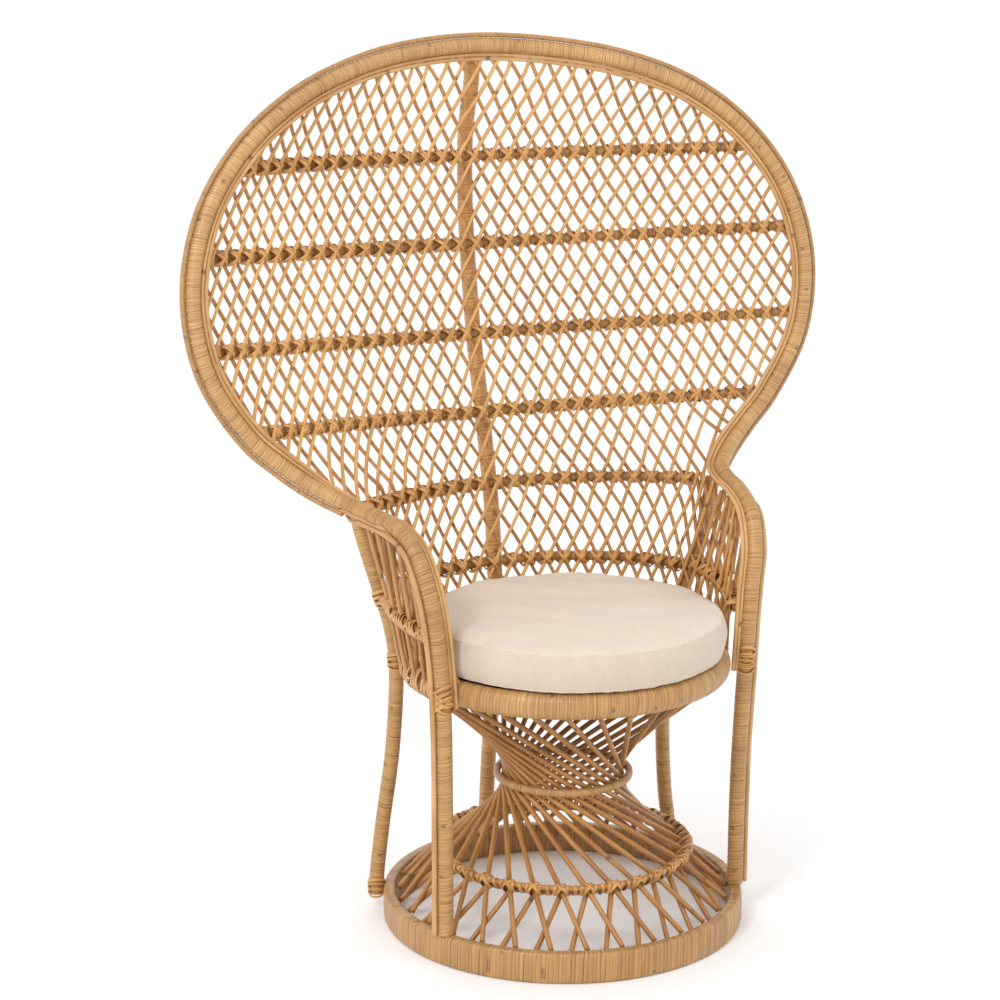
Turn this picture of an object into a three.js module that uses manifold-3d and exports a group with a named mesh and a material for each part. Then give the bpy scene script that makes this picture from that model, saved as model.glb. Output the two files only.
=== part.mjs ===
// Peacock chair of wrapped rattan with a loose round cushion.
// Millimetres, +Z up. The sitter faces -Y and the chair is the same on both sides of X = 0.
import * as THREE from 'three';
import { mergeVertices } from 'three/addons/utils/BufferGeometryUtils.js';
import Module from 'manifold-3d';

const wasm = await Module();
wasm.setup();

// Space between pieces that touch
const FIT = 0.3;

// Balloon rim: centre line of its wrapped pole
const TOP_HEIGHT = 1476;
const TOP_SETBACK = 353;
const RIM_HALF_WIDTH = 578;
const RIM_POLE_RADIUS = 13;

// Neck, where each arm meets the rim
const NECK_HEIGHT = 745;
const NECK_HALF_WIDTH = 355;
const NECK_SETBACK = 95;

// Arm poles, which turn down into the front legs
const LEG_HALF_WIDTH = 275;
const LEG_ADVANCE = 122;
const ARM_POLE_RADIUS = 14;

// Rear legs and spine
const REAR_LEG_RADIUS = 13;
const REAR_LEG_AZIMUTH = 117;
const REAR_SEAT_AZIMUTH = 114;
const SPINE_RADIUS = 14;
const SPINE_BOW = 413;
const FOOT_CLEARANCE = 30;

// Round edging reeds beside the poles
const OUTER_REED_RADIUS = 4.5;
const INNER_REED_RADIUS = 3.5;

// Crossbars behind the lattice, and the bars and spindles of the arms
const CROSSBAR_RADIUS = 9;
const SIDE_BAR_RADIUS = 8;
const SPINDLE_RADIUS = 4;

// Lattice of crossed reeds. Each link stands for two reeds side by side.
const LATTICE_WIDTH = 5.5;
const LATTICE_THICKNESS = 5;
const LATTICE_PITCH = 63;
const LATTICE_RISE = 108;

// Walls below the neck, on the line of the lattice. Angles are counted in degrees from the back.
const WALL_SIDE_INSET = 2;
const WALL_BACK_INSET = 24;
const WALL_INSIDE_NECK = 37;
const WALL_TOP_LEAD = 4;
const WALL_TOP_CENTRE = 30;
const WALL_BELOW_NECK = 27;
const WALL_SQUARING_SHARE = 0.1;
const WALL_SPLIT_FOOT_ANGLE = 62;
const WALL_SPLIT_TOP_ANGLE = 70;
const WALL_SPLIT_GAP_ANGLE = 1.8;
const WALL_FRONT_FOOT_ANGLE = 115;
const WALL_FRONT_TOP_ANGLE = 110;
const WALL_ROWS = 4;
const WALL_BACK_COLUMNS = 22;
const WALL_SIDE_COLUMNS = 8;
const ARM_FALL = 40;

// Seat
const SEAT_RADIUS = 278;
const SEAT_CENTRE = -12.5;
const SEAT_TOP = 484;
const SEAT_HOOP_HEIGHT = 44;
const SEAT_HOOP_WIDTH = 34;
const SEAT_RAIL_RADIUS = 6;
const DECK_THICKNESS = 6;

// Base
const BASE_RADIUS = 311.8;
const BASE_HEIGHT = 53;
const BASE_WIDTH = 22;
const BASE_ROUND = 7;
const MID_HOOP_RADIUS = 212;
const MID_HOOP_HEIGHT = 124;
const MID_REED_RADIUS = 4.5;
const WAIST_RADIUS = 103;
const WAIST_HEIGHT = 262;
const WAIST_BAND_HEIGHT = 20;
const WAIST_BAND_WIDTH = 12;
const BASE_REEDS = 30;
const BASE_REED_RADIUS = 4.5;
const REED_START_ANGLE = -0.5;
const SKIRT_TWIST_ANGLE = 9;
const SEAT_INSET = 23;
const BASE_OVERLAP = 5;

// Cushion
const CUSHION_RADIUS = 262;
const CUSHION_CENTRE = -34;
const CUSHION_HEIGHT = 68;
const CUSHION_CROWN = 12;
const CUSHION_DRAW_IN = 11;
const COVER_THICKNESS = 2;
const ZIP_LENGTH = 380;
const ZIP_WIDTH = 9;

// Faces round and along the pieces
const POLE_SIDES = 8;
const BAR_SIDES = 6;
const REED_SIDES = 5;
const HOOP_SEGMENTS = 36;
const SECTION_SIDES = 12;
const STEPS_PER_SPAN = 2;
const NECK_TURN = 3;
const REAR_LEG_STEPS = 12;
const SPINE_STEPS = 16;
const BAR_STEPS = 14;
const SIDE_BAR_STEPS = 8;

// Shares used to measure slopes and to find where a piece has to end
const SLOPE_STEP = 0.01;
const MARCH_STEPS = 60;
const HALVINGS = 10;
const SHORTEST_END_SHARE = 0.25;
const FULL_TURN_ANGLE = 360;

const V = (x, y, z) => new THREE.Vector3(x, y, z);
const radians = THREE.MathUtils.degToRad;
const mix = THREE.MathUtils.lerp;
const mirror = point => V(-point.x, point.y, point.z);
const asIs = point => point.clone();

// A line through given points whose sections stand exactly at those points
class Route extends THREE.Curve {
  constructor(points, ends = {}) {
    super();
    this.points = points;
    this.ends = ends;
  }
  getPoint(share) {
    const place = share * (this.points.length - 1);
    const start = Math.min(Math.floor(place), this.points.length - 2);
    return this.points[start].clone().lerp(this.points[start + 1], place - start);
  }
  getPointAt(share) {
    return this.getPoint(share);
  }
  getTangentAt(share) {
    const last = this.points.length - 1;
    const place = Math.round(share * last);
    if (place === 0 && this.ends.start) return this.ends.start.clone();
    if (place === last && this.ends.finish) return this.ends.finish.clone();
    return heading(this.points, place);
  }
}

function heading(points, place) {
  const before = points[Math.max(place - 1, 0)];
  const after = points[Math.min(place + 1, points.length - 1)];
  return after.clone().sub(before).normalize();
}

function circlePoints(radius, sides) {
  const points = [];
  for (let i = 0; i < sides; i++) {
    const angle = 2 * Math.PI * i / sides;
    points.push(new THREE.Vector2(radius * Math.cos(angle), radius * Math.sin(angle)));
  }
  return points;
}

// A round stick along a row of points
function stick(points, radius, sides, ends) {
  const route = new Route(points, ends);
  const settings = { extrudePath: route, steps: points.length - 1, bevelEnabled: false };
  return new THREE.ExtrudeGeometry(new THREE.Shape(circlePoints(radius, sides)), settings);
}

function smooth(points, steps) {
  return new THREE.CatmullRomCurve3(points).getSpacedPoints(steps);
}

// A hoop about a vertical axis from a closed outline of [radius, height] pairs
function hoop(outline, segments) {
  const points = outline.map(([radius, height]) => new THREE.Vector2(radius, height));
  points.push(points[0].clone());
  return new THREE.LatheGeometry(points, segments).rotateX(Math.PI / 2);
}

function ovalOutline(radius, height, halfWidth, halfHeight, sides) {
  const outline = [];
  for (let i = 0; i < sides; i++) {
    const angle = 2 * Math.PI * i / sides;
    outline.push([radius + halfWidth * Math.cos(angle), height + halfHeight * Math.sin(angle)]);
  }
  return outline;
}

// A point on a circle about the vertical axis, its azimuth counted in degrees from the front
function around(radius, azimuth, height) {
  return V(radius * Math.sin(radians(azimuth)), -radius * Math.cos(radians(azimuth)), height);
}

function toSolid(geometry) {
  const bare = geometry.clone();
  bare.deleteAttribute('normal');
  bare.deleteAttribute('uv');
  const merged = mergeVertices(bare, FIT / 1000);
  const vertProperties = new Float32Array(merged.attributes.position.array);
  const triVerts = new Uint32Array(merged.index.array);
  return new wasm.Manifold(new wasm.Mesh({ numProp: 3, vertProperties, triVerts }));
}

function toGeometry(solid) {
  const mesh = solid.getMesh();
  const geometry = new THREE.BufferGeometry();
  geometry.setAttribute('position', new THREE.BufferAttribute(mesh.vertProperties, 3));
  geometry.setIndex(new THREE.BufferAttribute(mesh.triVerts, 1));
  return geometry;
}

// The first point of a row of points at which one coordinate reaches a value
function pointWhere(points, axis, value) {
  const beyond = points.findIndex(point => point[axis] >= value);
  if (beyond <= 0) return points[beyond < 0 ? points.length - 1 : 0].clone();
  const from = points[beyond - 1];
  const to = points[beyond];
  return from.clone().lerp(to, (value - from[axis]) / (to[axis] - from[axis]));
}

function distanceTo(points, place) {
  const nearest = V();
  let least = Infinity;
  for (let i = 1; i < points.length; i++) {
    new THREE.Line3(points[i - 1], points[i]).closestPointToPoint(place, true, nearest);
    least = Math.min(least, nearest.distanceTo(place));
  }
  return least;
}

// Whether a spot keeps its room to round pieces, each given as [line, radius]
function isClear(spot, room, pieces) {
  return pieces.every(([points, radius]) => distanceTo(points, spot) > radius + FIT + room);
}

// Whether the flat end of a stick is clear of round pieces
function endIsClear(centre, along, radius, pieces) {
  const across = V(along.y, along.z, along.x).cross(along).normalize();
  const upright = along.clone().cross(across);
  return circlePoints(radius, 2 * POLE_SIDES).every(({ x, y }) => {
    return isClear(centre.clone().addScaledVector(across, x).addScaledVector(upright, y), 0, pieces);
  });
}

// Share of a path at which a stick has to stop on its way from the middle to an end
function stopShare(path, end, radius, pieces) {
  const middle = 1 / 2;
  const free = share => {
    const along = path(share + SLOPE_STEP).sub(path(share - SLOPE_STEP)).normalize();
    return endIsClear(path(share), along, radius, pieces);
  };
  let clear = middle;
  let blocked = end;
  for (let step = 1; step <= MARCH_STEPS; step++) {
    blocked = mix(middle, end, step / MARCH_STEPS);
    if (!free(blocked)) break;
    clear = blocked;
  }
  for (let halving = 0; halving < HALVINGS; halving++) {
    const share = (clear + blocked) / 2;
    if (free(share)) clear = share;
    else blocked = share;
  }
  return clear;
}

// A stick along a path, cut where it meets the pieces at its ends
function fittedStick(path, steps, radius, sides, startPieces, endPieces) {
  const from = stopShare(path, 0, radius, startPieces);
  const to = stopShare(path, 1, radius, endPieces);
  const points = [];
  for (let step = 0; step <= steps; step++) points.push(path(mix(from, to, step / steps)));
  return stick(points, radius, sides);
}

// A path through a row of points, from share 0 to share 1
function pathThrough(points) {
  const route = new Route(points);
  return share => {
    const inside = THREE.MathUtils.clamp(share, 0, 1);
    const beyond = share - inside;
    const ends = beyond < 0 ? 0 : points.length - 1;
    return route.getPoint(inside).addScaledVector(heading(points, ends), beyond * TOP_HEIGHT);
  };
}

// A geometry as it is for the right side, or turned over for the left with its faces still outward
function handed(geometry, side) {
  if (side !== mirror) return geometry;
  const turned = geometry.clone().scale(-1, 1, 1);
  const faces = turned.index.array;
  for (let i = 0; i < faces.length; i += 3) [faces[i], faces[i + 1]] = [faces[i + 1], faces[i]];
  return turned;
}

// Line of the poles from the right foot over the arm and the rim to the left foot.
// Foot to neck, as shares of the way in X, in Y and up from the floor
const armShares = [
  [0.01, -0.01, 0.35], [0.08, -0.04, 0.613], [0.21, -0.02, 0.788], [0.34, 0.02, 0.874],
  [0.46, 0.17, 0.948], [0.59, 0.44, 0.981], [0.76, 0.74, 0.989],
];
// Neck to top: X as a share of the half width, Y and Z as shares of the way from the neck
const rimShares = [
  [0.69, 0.186, 0.034], [0.772, 0.283, 0.085], [0.853, 0.322, 0.146], [0.969, 0.357, 0.298],
  [1, 0.411, 0.473], [0.945, 0.481, 0.646], [0.817, 0.562, 0.789], [0.638, 0.651, 0.895],
  [0.434, 0.783, 0.958], [0.223, 0.938, 0.989],
];

function poleControls() {
  const points = [V(LEG_HALF_WIDTH, -LEG_ADVANCE, BASE_HEIGHT + FIT)];
  for (const [across, back, up] of armShares) {
    const x = mix(LEG_HALF_WIDTH, NECK_HALF_WIDTH, across);
    points.push(V(x, mix(-LEG_ADVANCE, NECK_SETBACK, back), NECK_HEIGHT * up));
  }
  points.push(V(NECK_HALF_WIDTH, NECK_SETBACK, NECK_HEIGHT));
  for (const [across, back, up] of rimShares) {
    const y = mix(NECK_SETBACK, TOP_SETBACK, back);
    points.push(V(RIM_HALF_WIDTH * across, y, mix(NECK_HEIGHT, TOP_HEIGHT, up)));
  }
  const other = points.map(mirror).reverse();
  return [...points, V(0, TOP_SETBACK, TOP_HEIGHT), ...other];
}

const controls = poleControls();
const line = new THREE.CatmullRomCurve3(controls).getPoints(STEPS_PER_SPAN * (controls.length - 1));
const neck = STEPS_PER_SPAN * (armShares.length + 1);
const last = line.length - 1;
const top = last / 2;

// Directions square to the line: away from the seat or balloon, and towards it
function outwardAt(place) {
  const along = heading(line, place);
  return V(along.z, 0, -along.x).normalize();
}

function inwardAt(place) {
  if (place > top) return mirror(inwardAt(last - place));
  const along = heading(line, place);
  const across = V(-1, 0, 0).addScaledVector(along, along.x).normalize();
  const share = THREE.MathUtils.smoothstep(place, neck, neck + NECK_TURN * STEPS_PER_SPAN);
  return across.lerp(outwardAt(place).negate(), share).normalize();
}

function beside(first, final, direction, distance) {
  const points = [];
  for (let place = first; place <= final; place++) {
    points.push(line[place].clone().addScaledVector(direction(place), distance));
  }
  return points;
}

// A wrapped pole from the top of the base hoop up and over the arm to the neck
function armPole(side) {
  const points = line.slice(0, neck + 1).map(side);
  const finish = side(heading(line, neck));
  return stick(points, ARM_POLE_RADIUS, POLE_SIDES, { start: V(0, 0, 1), finish });
}

// The wrapped pole of the balloon, spliced to the arms at both necks
function rimPole() {
  const points = line.slice(neck, last - neck + 1).map(point => point.clone());
  const start = heading(line, neck);
  const finish = heading(line, last - neck);
  points[0].addScaledVector(start, FIT);
  points[points.length - 1].addScaledVector(finish, -FIT);
  return stick(points, RIM_POLE_RADIUS, POLE_SIDES, { start, finish });
}

const armEdge = ARM_POLE_RADIUS + FIT + OUTER_REED_RADIUS;
const rimEdge = RIM_POLE_RADIUS + FIT + OUTER_REED_RADIUS;
const innerEdges = [
  ARM_POLE_RADIUS + FIT + INNER_REED_RADIUS,
  ARM_POLE_RADIUS + 2 * FIT + 3 * INNER_REED_RADIUS,
];

function armEdgingReed(side) {
  const points = beside(0, neck - 1, outwardAt, armEdge).map(side);
  return stick(points, OUTER_REED_RADIUS, REED_SIDES);
}

function rimEdgingReed() {
  const points = beside(neck, last - neck, outwardAt, rimEdge);
  return stick(points, OUTER_REED_RADIUS, REED_SIDES);
}

// Each inner reed starts between leg and seat hoop, follows arm and rim, and comes down again
function innerReed(distance) {
  const points = beside(0, last, inwardAt, distance);
  const foot = pointWhere(points, 'z', SEAT_TOP - SEAT_HOOP_HEIGHT);
  const run = points.filter(point => point.z > foot.z);
  return stick([foot, ...run, mirror(foot)], INNER_REED_RADIUS, REED_SIDES);
}

// The rear legs and the spine, which pinch in where they pass the seat hoop

// Foot to seat and seat to neck: X and Y as shares of that way, Z as a share of its height
const rearLowerShares = [[0.5, 0, 0.28], [1.1, 0.42, 0.625]];
const rearUpperShares = [[0.2, 1.1, 0.25], [0.53, 1.9, 0.51], [0.85, 1.2, 0.82]];

const legContact = SEAT_RADIUS + FIT + REAR_LEG_RADIUS;
const seatMiddle = SEAT_TOP - SEAT_HOOP_HEIGHT / 2;

function between(from, to, [x, y, z]) {
  return V(mix(from.x, to.x, x), mix(from.y, to.y, y), mix(from.z, to.z, z));
}

function rearLegLine() {
  const foot = around(BASE_RADIUS + FIT + REAR_LEG_RADIUS, REAR_LEG_AZIMUTH, FOOT_CLEARANCE);
  const seat = around(legContact, REAR_SEAT_AZIMUTH, seatMiddle).add(V(0, SEAT_CENTRE, 0));
  const head = V(NECK_HALF_WIDTH - REAR_LEG_RADIUS, NECK_SETBACK, NECK_HEIGHT);
  const lower = rearLowerShares.map(shares => between(foot, seat, shares));
  const upper = rearUpperShares.map(shares => between(seat, head, shares));
  return new THREE.CatmullRomCurve3([foot, foot.clone().setZ(BASE_HEIGHT), ...lower, seat, ...upper, head]);
}

// Seat to top: Y as a share of the bow behind the seat, Z as a share of the height
const spineShares = [
  [0.05, 0.097], [0.144, 0.198], [0.364, 0.32], [0.735, 0.5],
  [0.94, 0.656], [1, 0.74], [0.97, 0.856], [0.78, 0.939],
];
const spineLowerShares = [[0.76, 0.33]];

function spineLine() {
  const foot = V(0, BASE_RADIUS + FIT + SPINE_RADIUS, FOOT_CLEARANCE);
  const seat = V(0, SEAT_CENTRE + SEAT_RADIUS + FIT + SPINE_RADIUS, seatMiddle);
  const lower = spineLowerShares.map(([out, up]) => {
    return V(0, mix(seat.y, foot.y, out), mix(foot.z, seat.z, up));
  });
  const upper = spineShares.map(([out, up]) => {
    return V(0, mix(seat.y, SPINE_BOW, out), mix(seat.z, TOP_HEIGHT, up));
  });
  const head = V(0, TOP_SETBACK + RIM_POLE_RADIUS + FIT + SPINE_RADIUS, TOP_HEIGHT);
  return new THREE.CatmullRomCurve3([foot, foot.clone().setZ(BASE_HEIGHT), ...lower, seat, ...upper, head]);
}

const rearLeg = rearLegLine().getPoints(REAR_LEG_STEPS);
const spine = spineLine().getPoints(SPINE_STEPS);

const rimHalf = line.slice(neck, top + 1).map(asIs);
const armHalf = line.slice(0, neck + 1).map(asIs);
const innerHalves = innerEdges.map(distance => beside(0, top, inwardAt, distance));

// What the bars and the lattice meet at the right side of the balloon
const rimPieces = [
  [rimHalf, RIM_POLE_RADIUS],
  [armHalf, ARM_POLE_RADIUS],
  ...innerHalves.map(points => [points, INNER_REED_RADIUS]),
];
const armPieces = [...rimPieces, [beside(0, neck, outwardAt, armEdge), OUTER_REED_RADIUS]];

function rearLegStick(side) {
  const from = share => side(pathThrough(rearLeg)(share));
  const above = armPieces.map(([points, radius]) => [points.map(side), radius]);
  return fittedStick(from, REAR_LEG_STEPS, REAR_LEG_RADIUS, POLE_SIDES, [], above);
}

// Surface of the balloon's lattice: at each height an arc from rim to rim in front of the spine
const barBeforeSpine = SPINE_RADIUS + FIT + CROSSBAR_RADIUS;
const latticeBeforeSpine = barBeforeSpine + CROSSBAR_RADIUS + LATTICE_THICKNESS / 2 + 5 * FIT;
const spineTop = pointWhere(spine, 'z', TOP_HEIGHT);

// Crossbars: heights of the middle and of the ends, as shares from the neck to the top
const barShares = [
  [-0.0436, -0.0368], [0.1261, 0.1559], [0.3106, 0.3459], [0.525, 0.5535], [0.7341, 0.7449],
];
const topBarHeight = mix(NECK_HEIGHT, TOP_HEIGHT, barShares[barShares.length - 1][0]);

function balloonArc(height) {
  const edge = pointWhere(rimHalf, 'z', height);
  const easing = THREE.MathUtils.smoothstep(height, topBarHeight, TOP_HEIGHT);
  const lead = mix(latticeBeforeSpine, spineTop.y - TOP_SETBACK, easing);
  const middle = pointWhere(spine, 'z', height).y - lead;
  const sag = middle - edge.y;
  const radius = (edge.x ** 2 + sag ** 2) / (2 * sag);
  return { radius, middle, reach: radius * Math.atan2(edge.x, radius - sag) };
}

function balloonPoint(distance, height) {
  const { radius, middle } = balloonArc(height);
  const angle = distance / radius;
  return V(radius * Math.sin(angle), middle - radius * (1 - Math.cos(angle)), height);
}

// The direction from the balloon's surface to the sitter
function balloonFront(distance, height) {
  const across = balloonPoint(distance + FIT, height).sub(balloonPoint(distance - FIT, height));
  const up = balloonPoint(distance, height + FIT).sub(balloonPoint(distance, height - FIT));
  return across.cross(up).normalize();
}

// A bar behind the lattice, from one side of the rim to the other
function crossbar([middleShare, endShare]) {
  const behind = LATTICE_THICKNESS / 2 + 2 * FIT + CROSSBAR_RADIUS;
  const path = share => {
    const spread = 2 * share - 1;
    const height = mix(NECK_HEIGHT, TOP_HEIGHT, mix(middleShare, endShare, spread ** 2));
    const distance = balloonArc(height).reach * spread;
    return balloonPoint(distance, height).addScaledVector(balloonFront(distance, height), -behind);
  };
  const right = [...rimPieces, [rearLeg, REAR_LEG_RADIUS]];
  const left = right.map(([points, radius]) => [points.map(mirror), radius]);
  return fittedStick(path, BAR_STEPS, CROSSBAR_RADIUS, BAR_SIDES, left, right);
}

// Walls of the seat: ovals that widen and square up from the seat to the arms
const wallTop = NECK_HEIGHT - WALL_BELOW_NECK;
const wallFootHalfWidth = SEAT_RADIUS - WALL_SIDE_INSET;
const wallFootDepth = SEAT_RADIUS - WALL_BACK_INSET;
const wallTopHalfWidth = NECK_HALF_WIDTH - WALL_INSIDE_NECK;
const wallTopDepth = balloonArc(wallTop).middle - WALL_TOP_LEAD - WALL_TOP_CENTRE;

function wallPoint(turn, height, outward = 0) {
  const share = (height - SEAT_TOP) / (wallTop - SEAT_TOP);
  const power = 1 / (1 + WALL_SQUARING_SHARE * share);
  const halfWidth = mix(wallFootHalfWidth, wallTopHalfWidth, share) + outward;
  const depth = mix(wallFootDepth, wallTopDepth, share) + outward;
  const centre = mix(SEAT_CENTRE, WALL_TOP_CENTRE, share);
  const across = Math.sin(radians(turn));
  const back = Math.cos(radians(turn));
  const x = halfWidth * Math.sign(across) * Math.abs(across) ** power;
  return V(x, centre + depth * Math.sign(back) * Math.abs(back) ** power, height);
}

const seatRing = SEAT_RADIUS - SEAT_HOOP_WIDTH / 2;

// Height of the seat hoop's surface under something that stands on it
function hoopShoulder(spot, halfWidth) {
  const away = Math.abs(Math.hypot(spot.x, spot.y - SEAT_CENTRE) - seatRing);
  const share = 2 * Math.max(away - halfWidth, 0) / SEAT_HOOP_WIDTH;
  return seatMiddle + SEAT_HOOP_HEIGHT / 2 * Math.sqrt(Math.max(1 - share ** 2, 0));
}

// Fuses links of flat section into one net. Links that meet share their corners.
function netGeometry(points, normals, links) {
  const positions = [];
  const faces = [];
  const half = LATTICE_WIDTH / 2;
  const corner = (place, normal) => {
    for (const side of [1, -1]) {
      positions.push(...place.clone().addScaledVector(normal, side * LATTICE_THICKNESS / 2));
    }
    return positions.length / 3 - 2;
  };
  const quad = (a, b, c, d) => faces.push(a, b, c, a, c, d);
  const neighboursOf = index => {
    return links.filter(link => link.includes(index)).map(([a, b]) => (a === index ? b : a));
  };
  const joints = points.map((point, index) => {
    const normal = normals[index];
    const right = V(0, 0, 1).cross(normal).normalize();
    const up = normal.clone().cross(right);
    const toward = angle => {
      return right.clone().multiplyScalar(Math.cos(angle)).addScaledVector(up, Math.sin(angle));
    };
    const arms = neighboursOf(index).map(other => {
      const away = points[other].clone().sub(point);
      return { other, angle: Math.atan2(away.dot(up), away.dot(right)) };
    }).sort((one, two) => one.angle - two.angle);
    if (arms.length === 1) {
      const across = toward(arms[0].angle + Math.PI / 2).multiplyScalar(half);
      const one = corner(point.clone().add(across), normal);
      const other = corner(point.clone().sub(across), normal);
      quad(one, one + 1, other + 1, other);
      return { arms, lefts: [one], rights: [other] };
    }
    const lefts = arms.map((arm, k) => {
      const next = arms[(k + 1) % arms.length];
      const middle = (arm.angle + next.angle) / 2 + (k + 1 === arms.length ? Math.PI : 0);
      const away = toward(middle).multiplyScalar(half / Math.sin(middle - arm.angle));
      return corner(point.clone().add(away), normal);
    });
    for (let k = 1; k < lefts.length - 1; k++) {
      faces.push(lefts[0], lefts[k], lefts[k + 1], lefts[0] + 1, lefts[k + 1] + 1, lefts[k] + 1);
    }
    return { arms, lefts, rights: lefts.map((left, k) => lefts[(k + lefts.length - 1) % lefts.length]) };
  });
  for (const [a, b] of links) {
    const from = joints[a].arms.findIndex(arm => arm.other === b);
    const to = joints[b].arms.findIndex(arm => arm.other === a);
    const nearLeft = joints[a].lefts[from];
    const nearRight = joints[a].rights[from];
    const farRight = joints[b].lefts[to];
    const farLeft = joints[b].rights[to];
    quad(nearRight, farRight, farLeft, nearLeft);
    quad(nearLeft + 1, farLeft + 1, farRight + 1, nearRight + 1);
    quad(nearRight + 1, farRight + 1, farRight, nearRight);
    quad(nearLeft, farLeft, farLeft + 1, nearLeft + 1);
  }
  const geometry = new THREE.BufferGeometry();
  geometry.setAttribute('position', new THREE.Float32BufferAttribute(positions, 3));
  geometry.setIndex(faces);
  return geometry;
}

// A diamond net over a surface of columns and rows, its reeds cut where they leave the inside
function latticePanel(surface, columns, rows, isInside) {
  const points = [];
  const normals = [];
  const links = [];
  const known = new Map();
  const add = (column, row) => {
    const across = surface(column + SLOPE_STEP, row).sub(surface(column - SLOPE_STEP, row));
    const up = surface(column, row + SLOPE_STEP).sub(surface(column, row - SLOPE_STEP));
    points.push(surface(column, row));
    normals.push(across.cross(up).normalize());
    return points.length - 1;
  };
  const crossing = (column, row) => {
    const name = `${column} ${row}`;
    if (!known.has(name)) known.set(name, add(column, row));
    return known.get(name);
  };
  const onPanel = (column, row) => column >= 0 && column <= columns && row >= 0 && row <= rows;
  const reedLength = (column, row, step, rise) => {
    let share = 0;
    while (share < 1 && isInside(surface(column + step * share, row + rise * share))) share += SLOPE_STEP;
    return share - SLOPE_STEP;
  };
  for (let row = 0; row <= rows; row++) {
    for (let column = row % 2; column <= columns; column += 2) {
      if (!isInside(surface(column, row))) continue;
      for (const [step, rise] of [[1, 1], [-1, 1], [1, -1], [-1, -1]]) {
        if (!onPanel(column + step, row + rise)) continue;
        if (isInside(surface(column + step, row + rise))) {
          if (rise > 0) links.push([crossing(column, row), crossing(column + step, row + rise)]);
          continue;
        }
        const share = reedLength(column, row, step, rise);
        if (share < SHORTEST_END_SHARE) continue;
        links.push([crossing(column, row), add(column + step * share, row + rise * share)]);
      }
    }
  }
  return netGeometry(points, normals, links);
}

// Reach of a crossing beyond its own centre, towards its narrow side and its wide side
const reedAngle = Math.atan2(LATTICE_PITCH, LATTICE_RISE);
const sideTip = LATTICE_WIDTH / 2 / Math.cos(reedAngle) + FIT;
const endTip = LATTICE_WIDTH / 2 / Math.sin(reedAngle) + FIT;
const balloonFloor = NECK_HEIGHT - RIM_POLE_RADIUS;

function backLattice(side) {
  const surface = (column, row) => {
    return balloonPoint(sideTip + column * LATTICE_PITCH / 2, balloonFloor + row * LATTICE_RISE / 2);
  };
  const room = Math.hypot(LATTICE_WIDTH, LATTICE_THICKNESS) / 2 + FIT;
  const isInside = point => {
    const edge = pointWhere(rimHalf, 'z', point.z);
    return point.z < TOP_HEIGHT && point.x < edge.x && isClear(point, room, rimPieces);
  };
  const reach = Math.max(...rimHalf.slice(0, -1).map(point => balloonArc(point.z).reach));
  const columns = Math.ceil(2 * reach / LATTICE_PITCH);
  const rows = Math.ceil(2 * (TOP_HEIGHT - balloonFloor) / LATTICE_RISE);
  return handed(latticePanel(surface, columns, rows, isInside), side);
}

// A wall panel between two slanting edges, each given as its turn at the foot and at the top
function wallPanel(from, to, columns, topAt) {
  const nextTurn = mix(from[0], to[0], 1 / columns);
  const columnWidth = wallPoint(from[0], SEAT_TOP).distanceTo(wallPoint(nextTurn, SEAT_TOP));
  const lean = Math.atan2(columnWidth, (wallTop - SEAT_TOP) / WALL_ROWS);
  const tip = LATTICE_WIDTH / 2 / Math.sin(lean) + FIT;
  const surface = (column, row) => {
    const share = row / WALL_ROWS;
    const turn = mix(mix(...from, share), mix(...to, share), column / columns);
    const foot = hoopShoulder(wallPoint(turn, SEAT_TOP), LATTICE_THICKNESS / 2) + FIT + tip;
    return wallPoint(turn, mix(foot, topAt(turn), share));
  };
  return latticePanel(surface, columns, WALL_ROWS, () => true);
}

function lowerBackLattice() {
  const height = balloonFloor - 2 * endTip;
  const right = [WALL_SPLIT_FOOT_ANGLE, WALL_SPLIT_TOP_ANGLE];
  return wallPanel(right.map(turn => -turn), right, WALL_BACK_COLUMNS, () => height);
}

function sideLattice(side) {
  const squareOn = 90;
  const topAt = turn => {
    const share = Math.max(turn - squareOn, 0) / (WALL_FRONT_TOP_ANGLE - squareOn);
    return wallTop - ARM_FALL * share ** 2;
  };
  const from = [WALL_SPLIT_FOOT_ANGLE, WALL_SPLIT_TOP_ANGLE].map(turn => turn + WALL_SPLIT_GAP_ANGLE);
  const to = [WALL_FRONT_FOOT_ANGLE, WALL_FRONT_TOP_ANGLE];
  const panel = wallPanel(from, to, WALL_SIDE_COLUMNS, topAt);
  return handed(panel, side);
}

// Bars outside the walls, and the plain spindles above and below the side bars.
// Heights of the bars as shares from the seat to the top of the walls
const lowerBarShare = 0.376;
const sideBarShares = [0.4615, 0.282];
const bothLegs = [[rearLeg, REAR_LEG_RADIUS]];

function lowerBackBar() {
  const outward = LATTICE_THICKNESS / 2 + 2 * FIT + CROSSBAR_RADIUS;
  const height = mix(SEAT_TOP, wallTop, lowerBarShare);
  const path = share => {
    return wallPoint(mix(-WALL_FRONT_TOP_ANGLE, WALL_FRONT_TOP_ANGLE, share), height, outward);
  };
  const left = [[rearLeg.map(mirror), REAR_LEG_RADIUS]];
  return fittedStick(path, BAR_STEPS, CROSSBAR_RADIUS, BAR_SIDES, left, bothLegs);
}

function sideBarPoint(share) {
  const outward = LATTICE_THICKNESS / 2 + 2 * FIT + SIDE_BAR_RADIUS;
  const turn = mix(WALL_SPLIT_FOOT_ANGLE, WALL_FRONT_FOOT_ANGLE + WALL_SPLIT_GAP_ANGLE, share);
  return wallPoint(turn, mix(SEAT_TOP, wallTop, mix(...sideBarShares, share)), outward);
}

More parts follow.
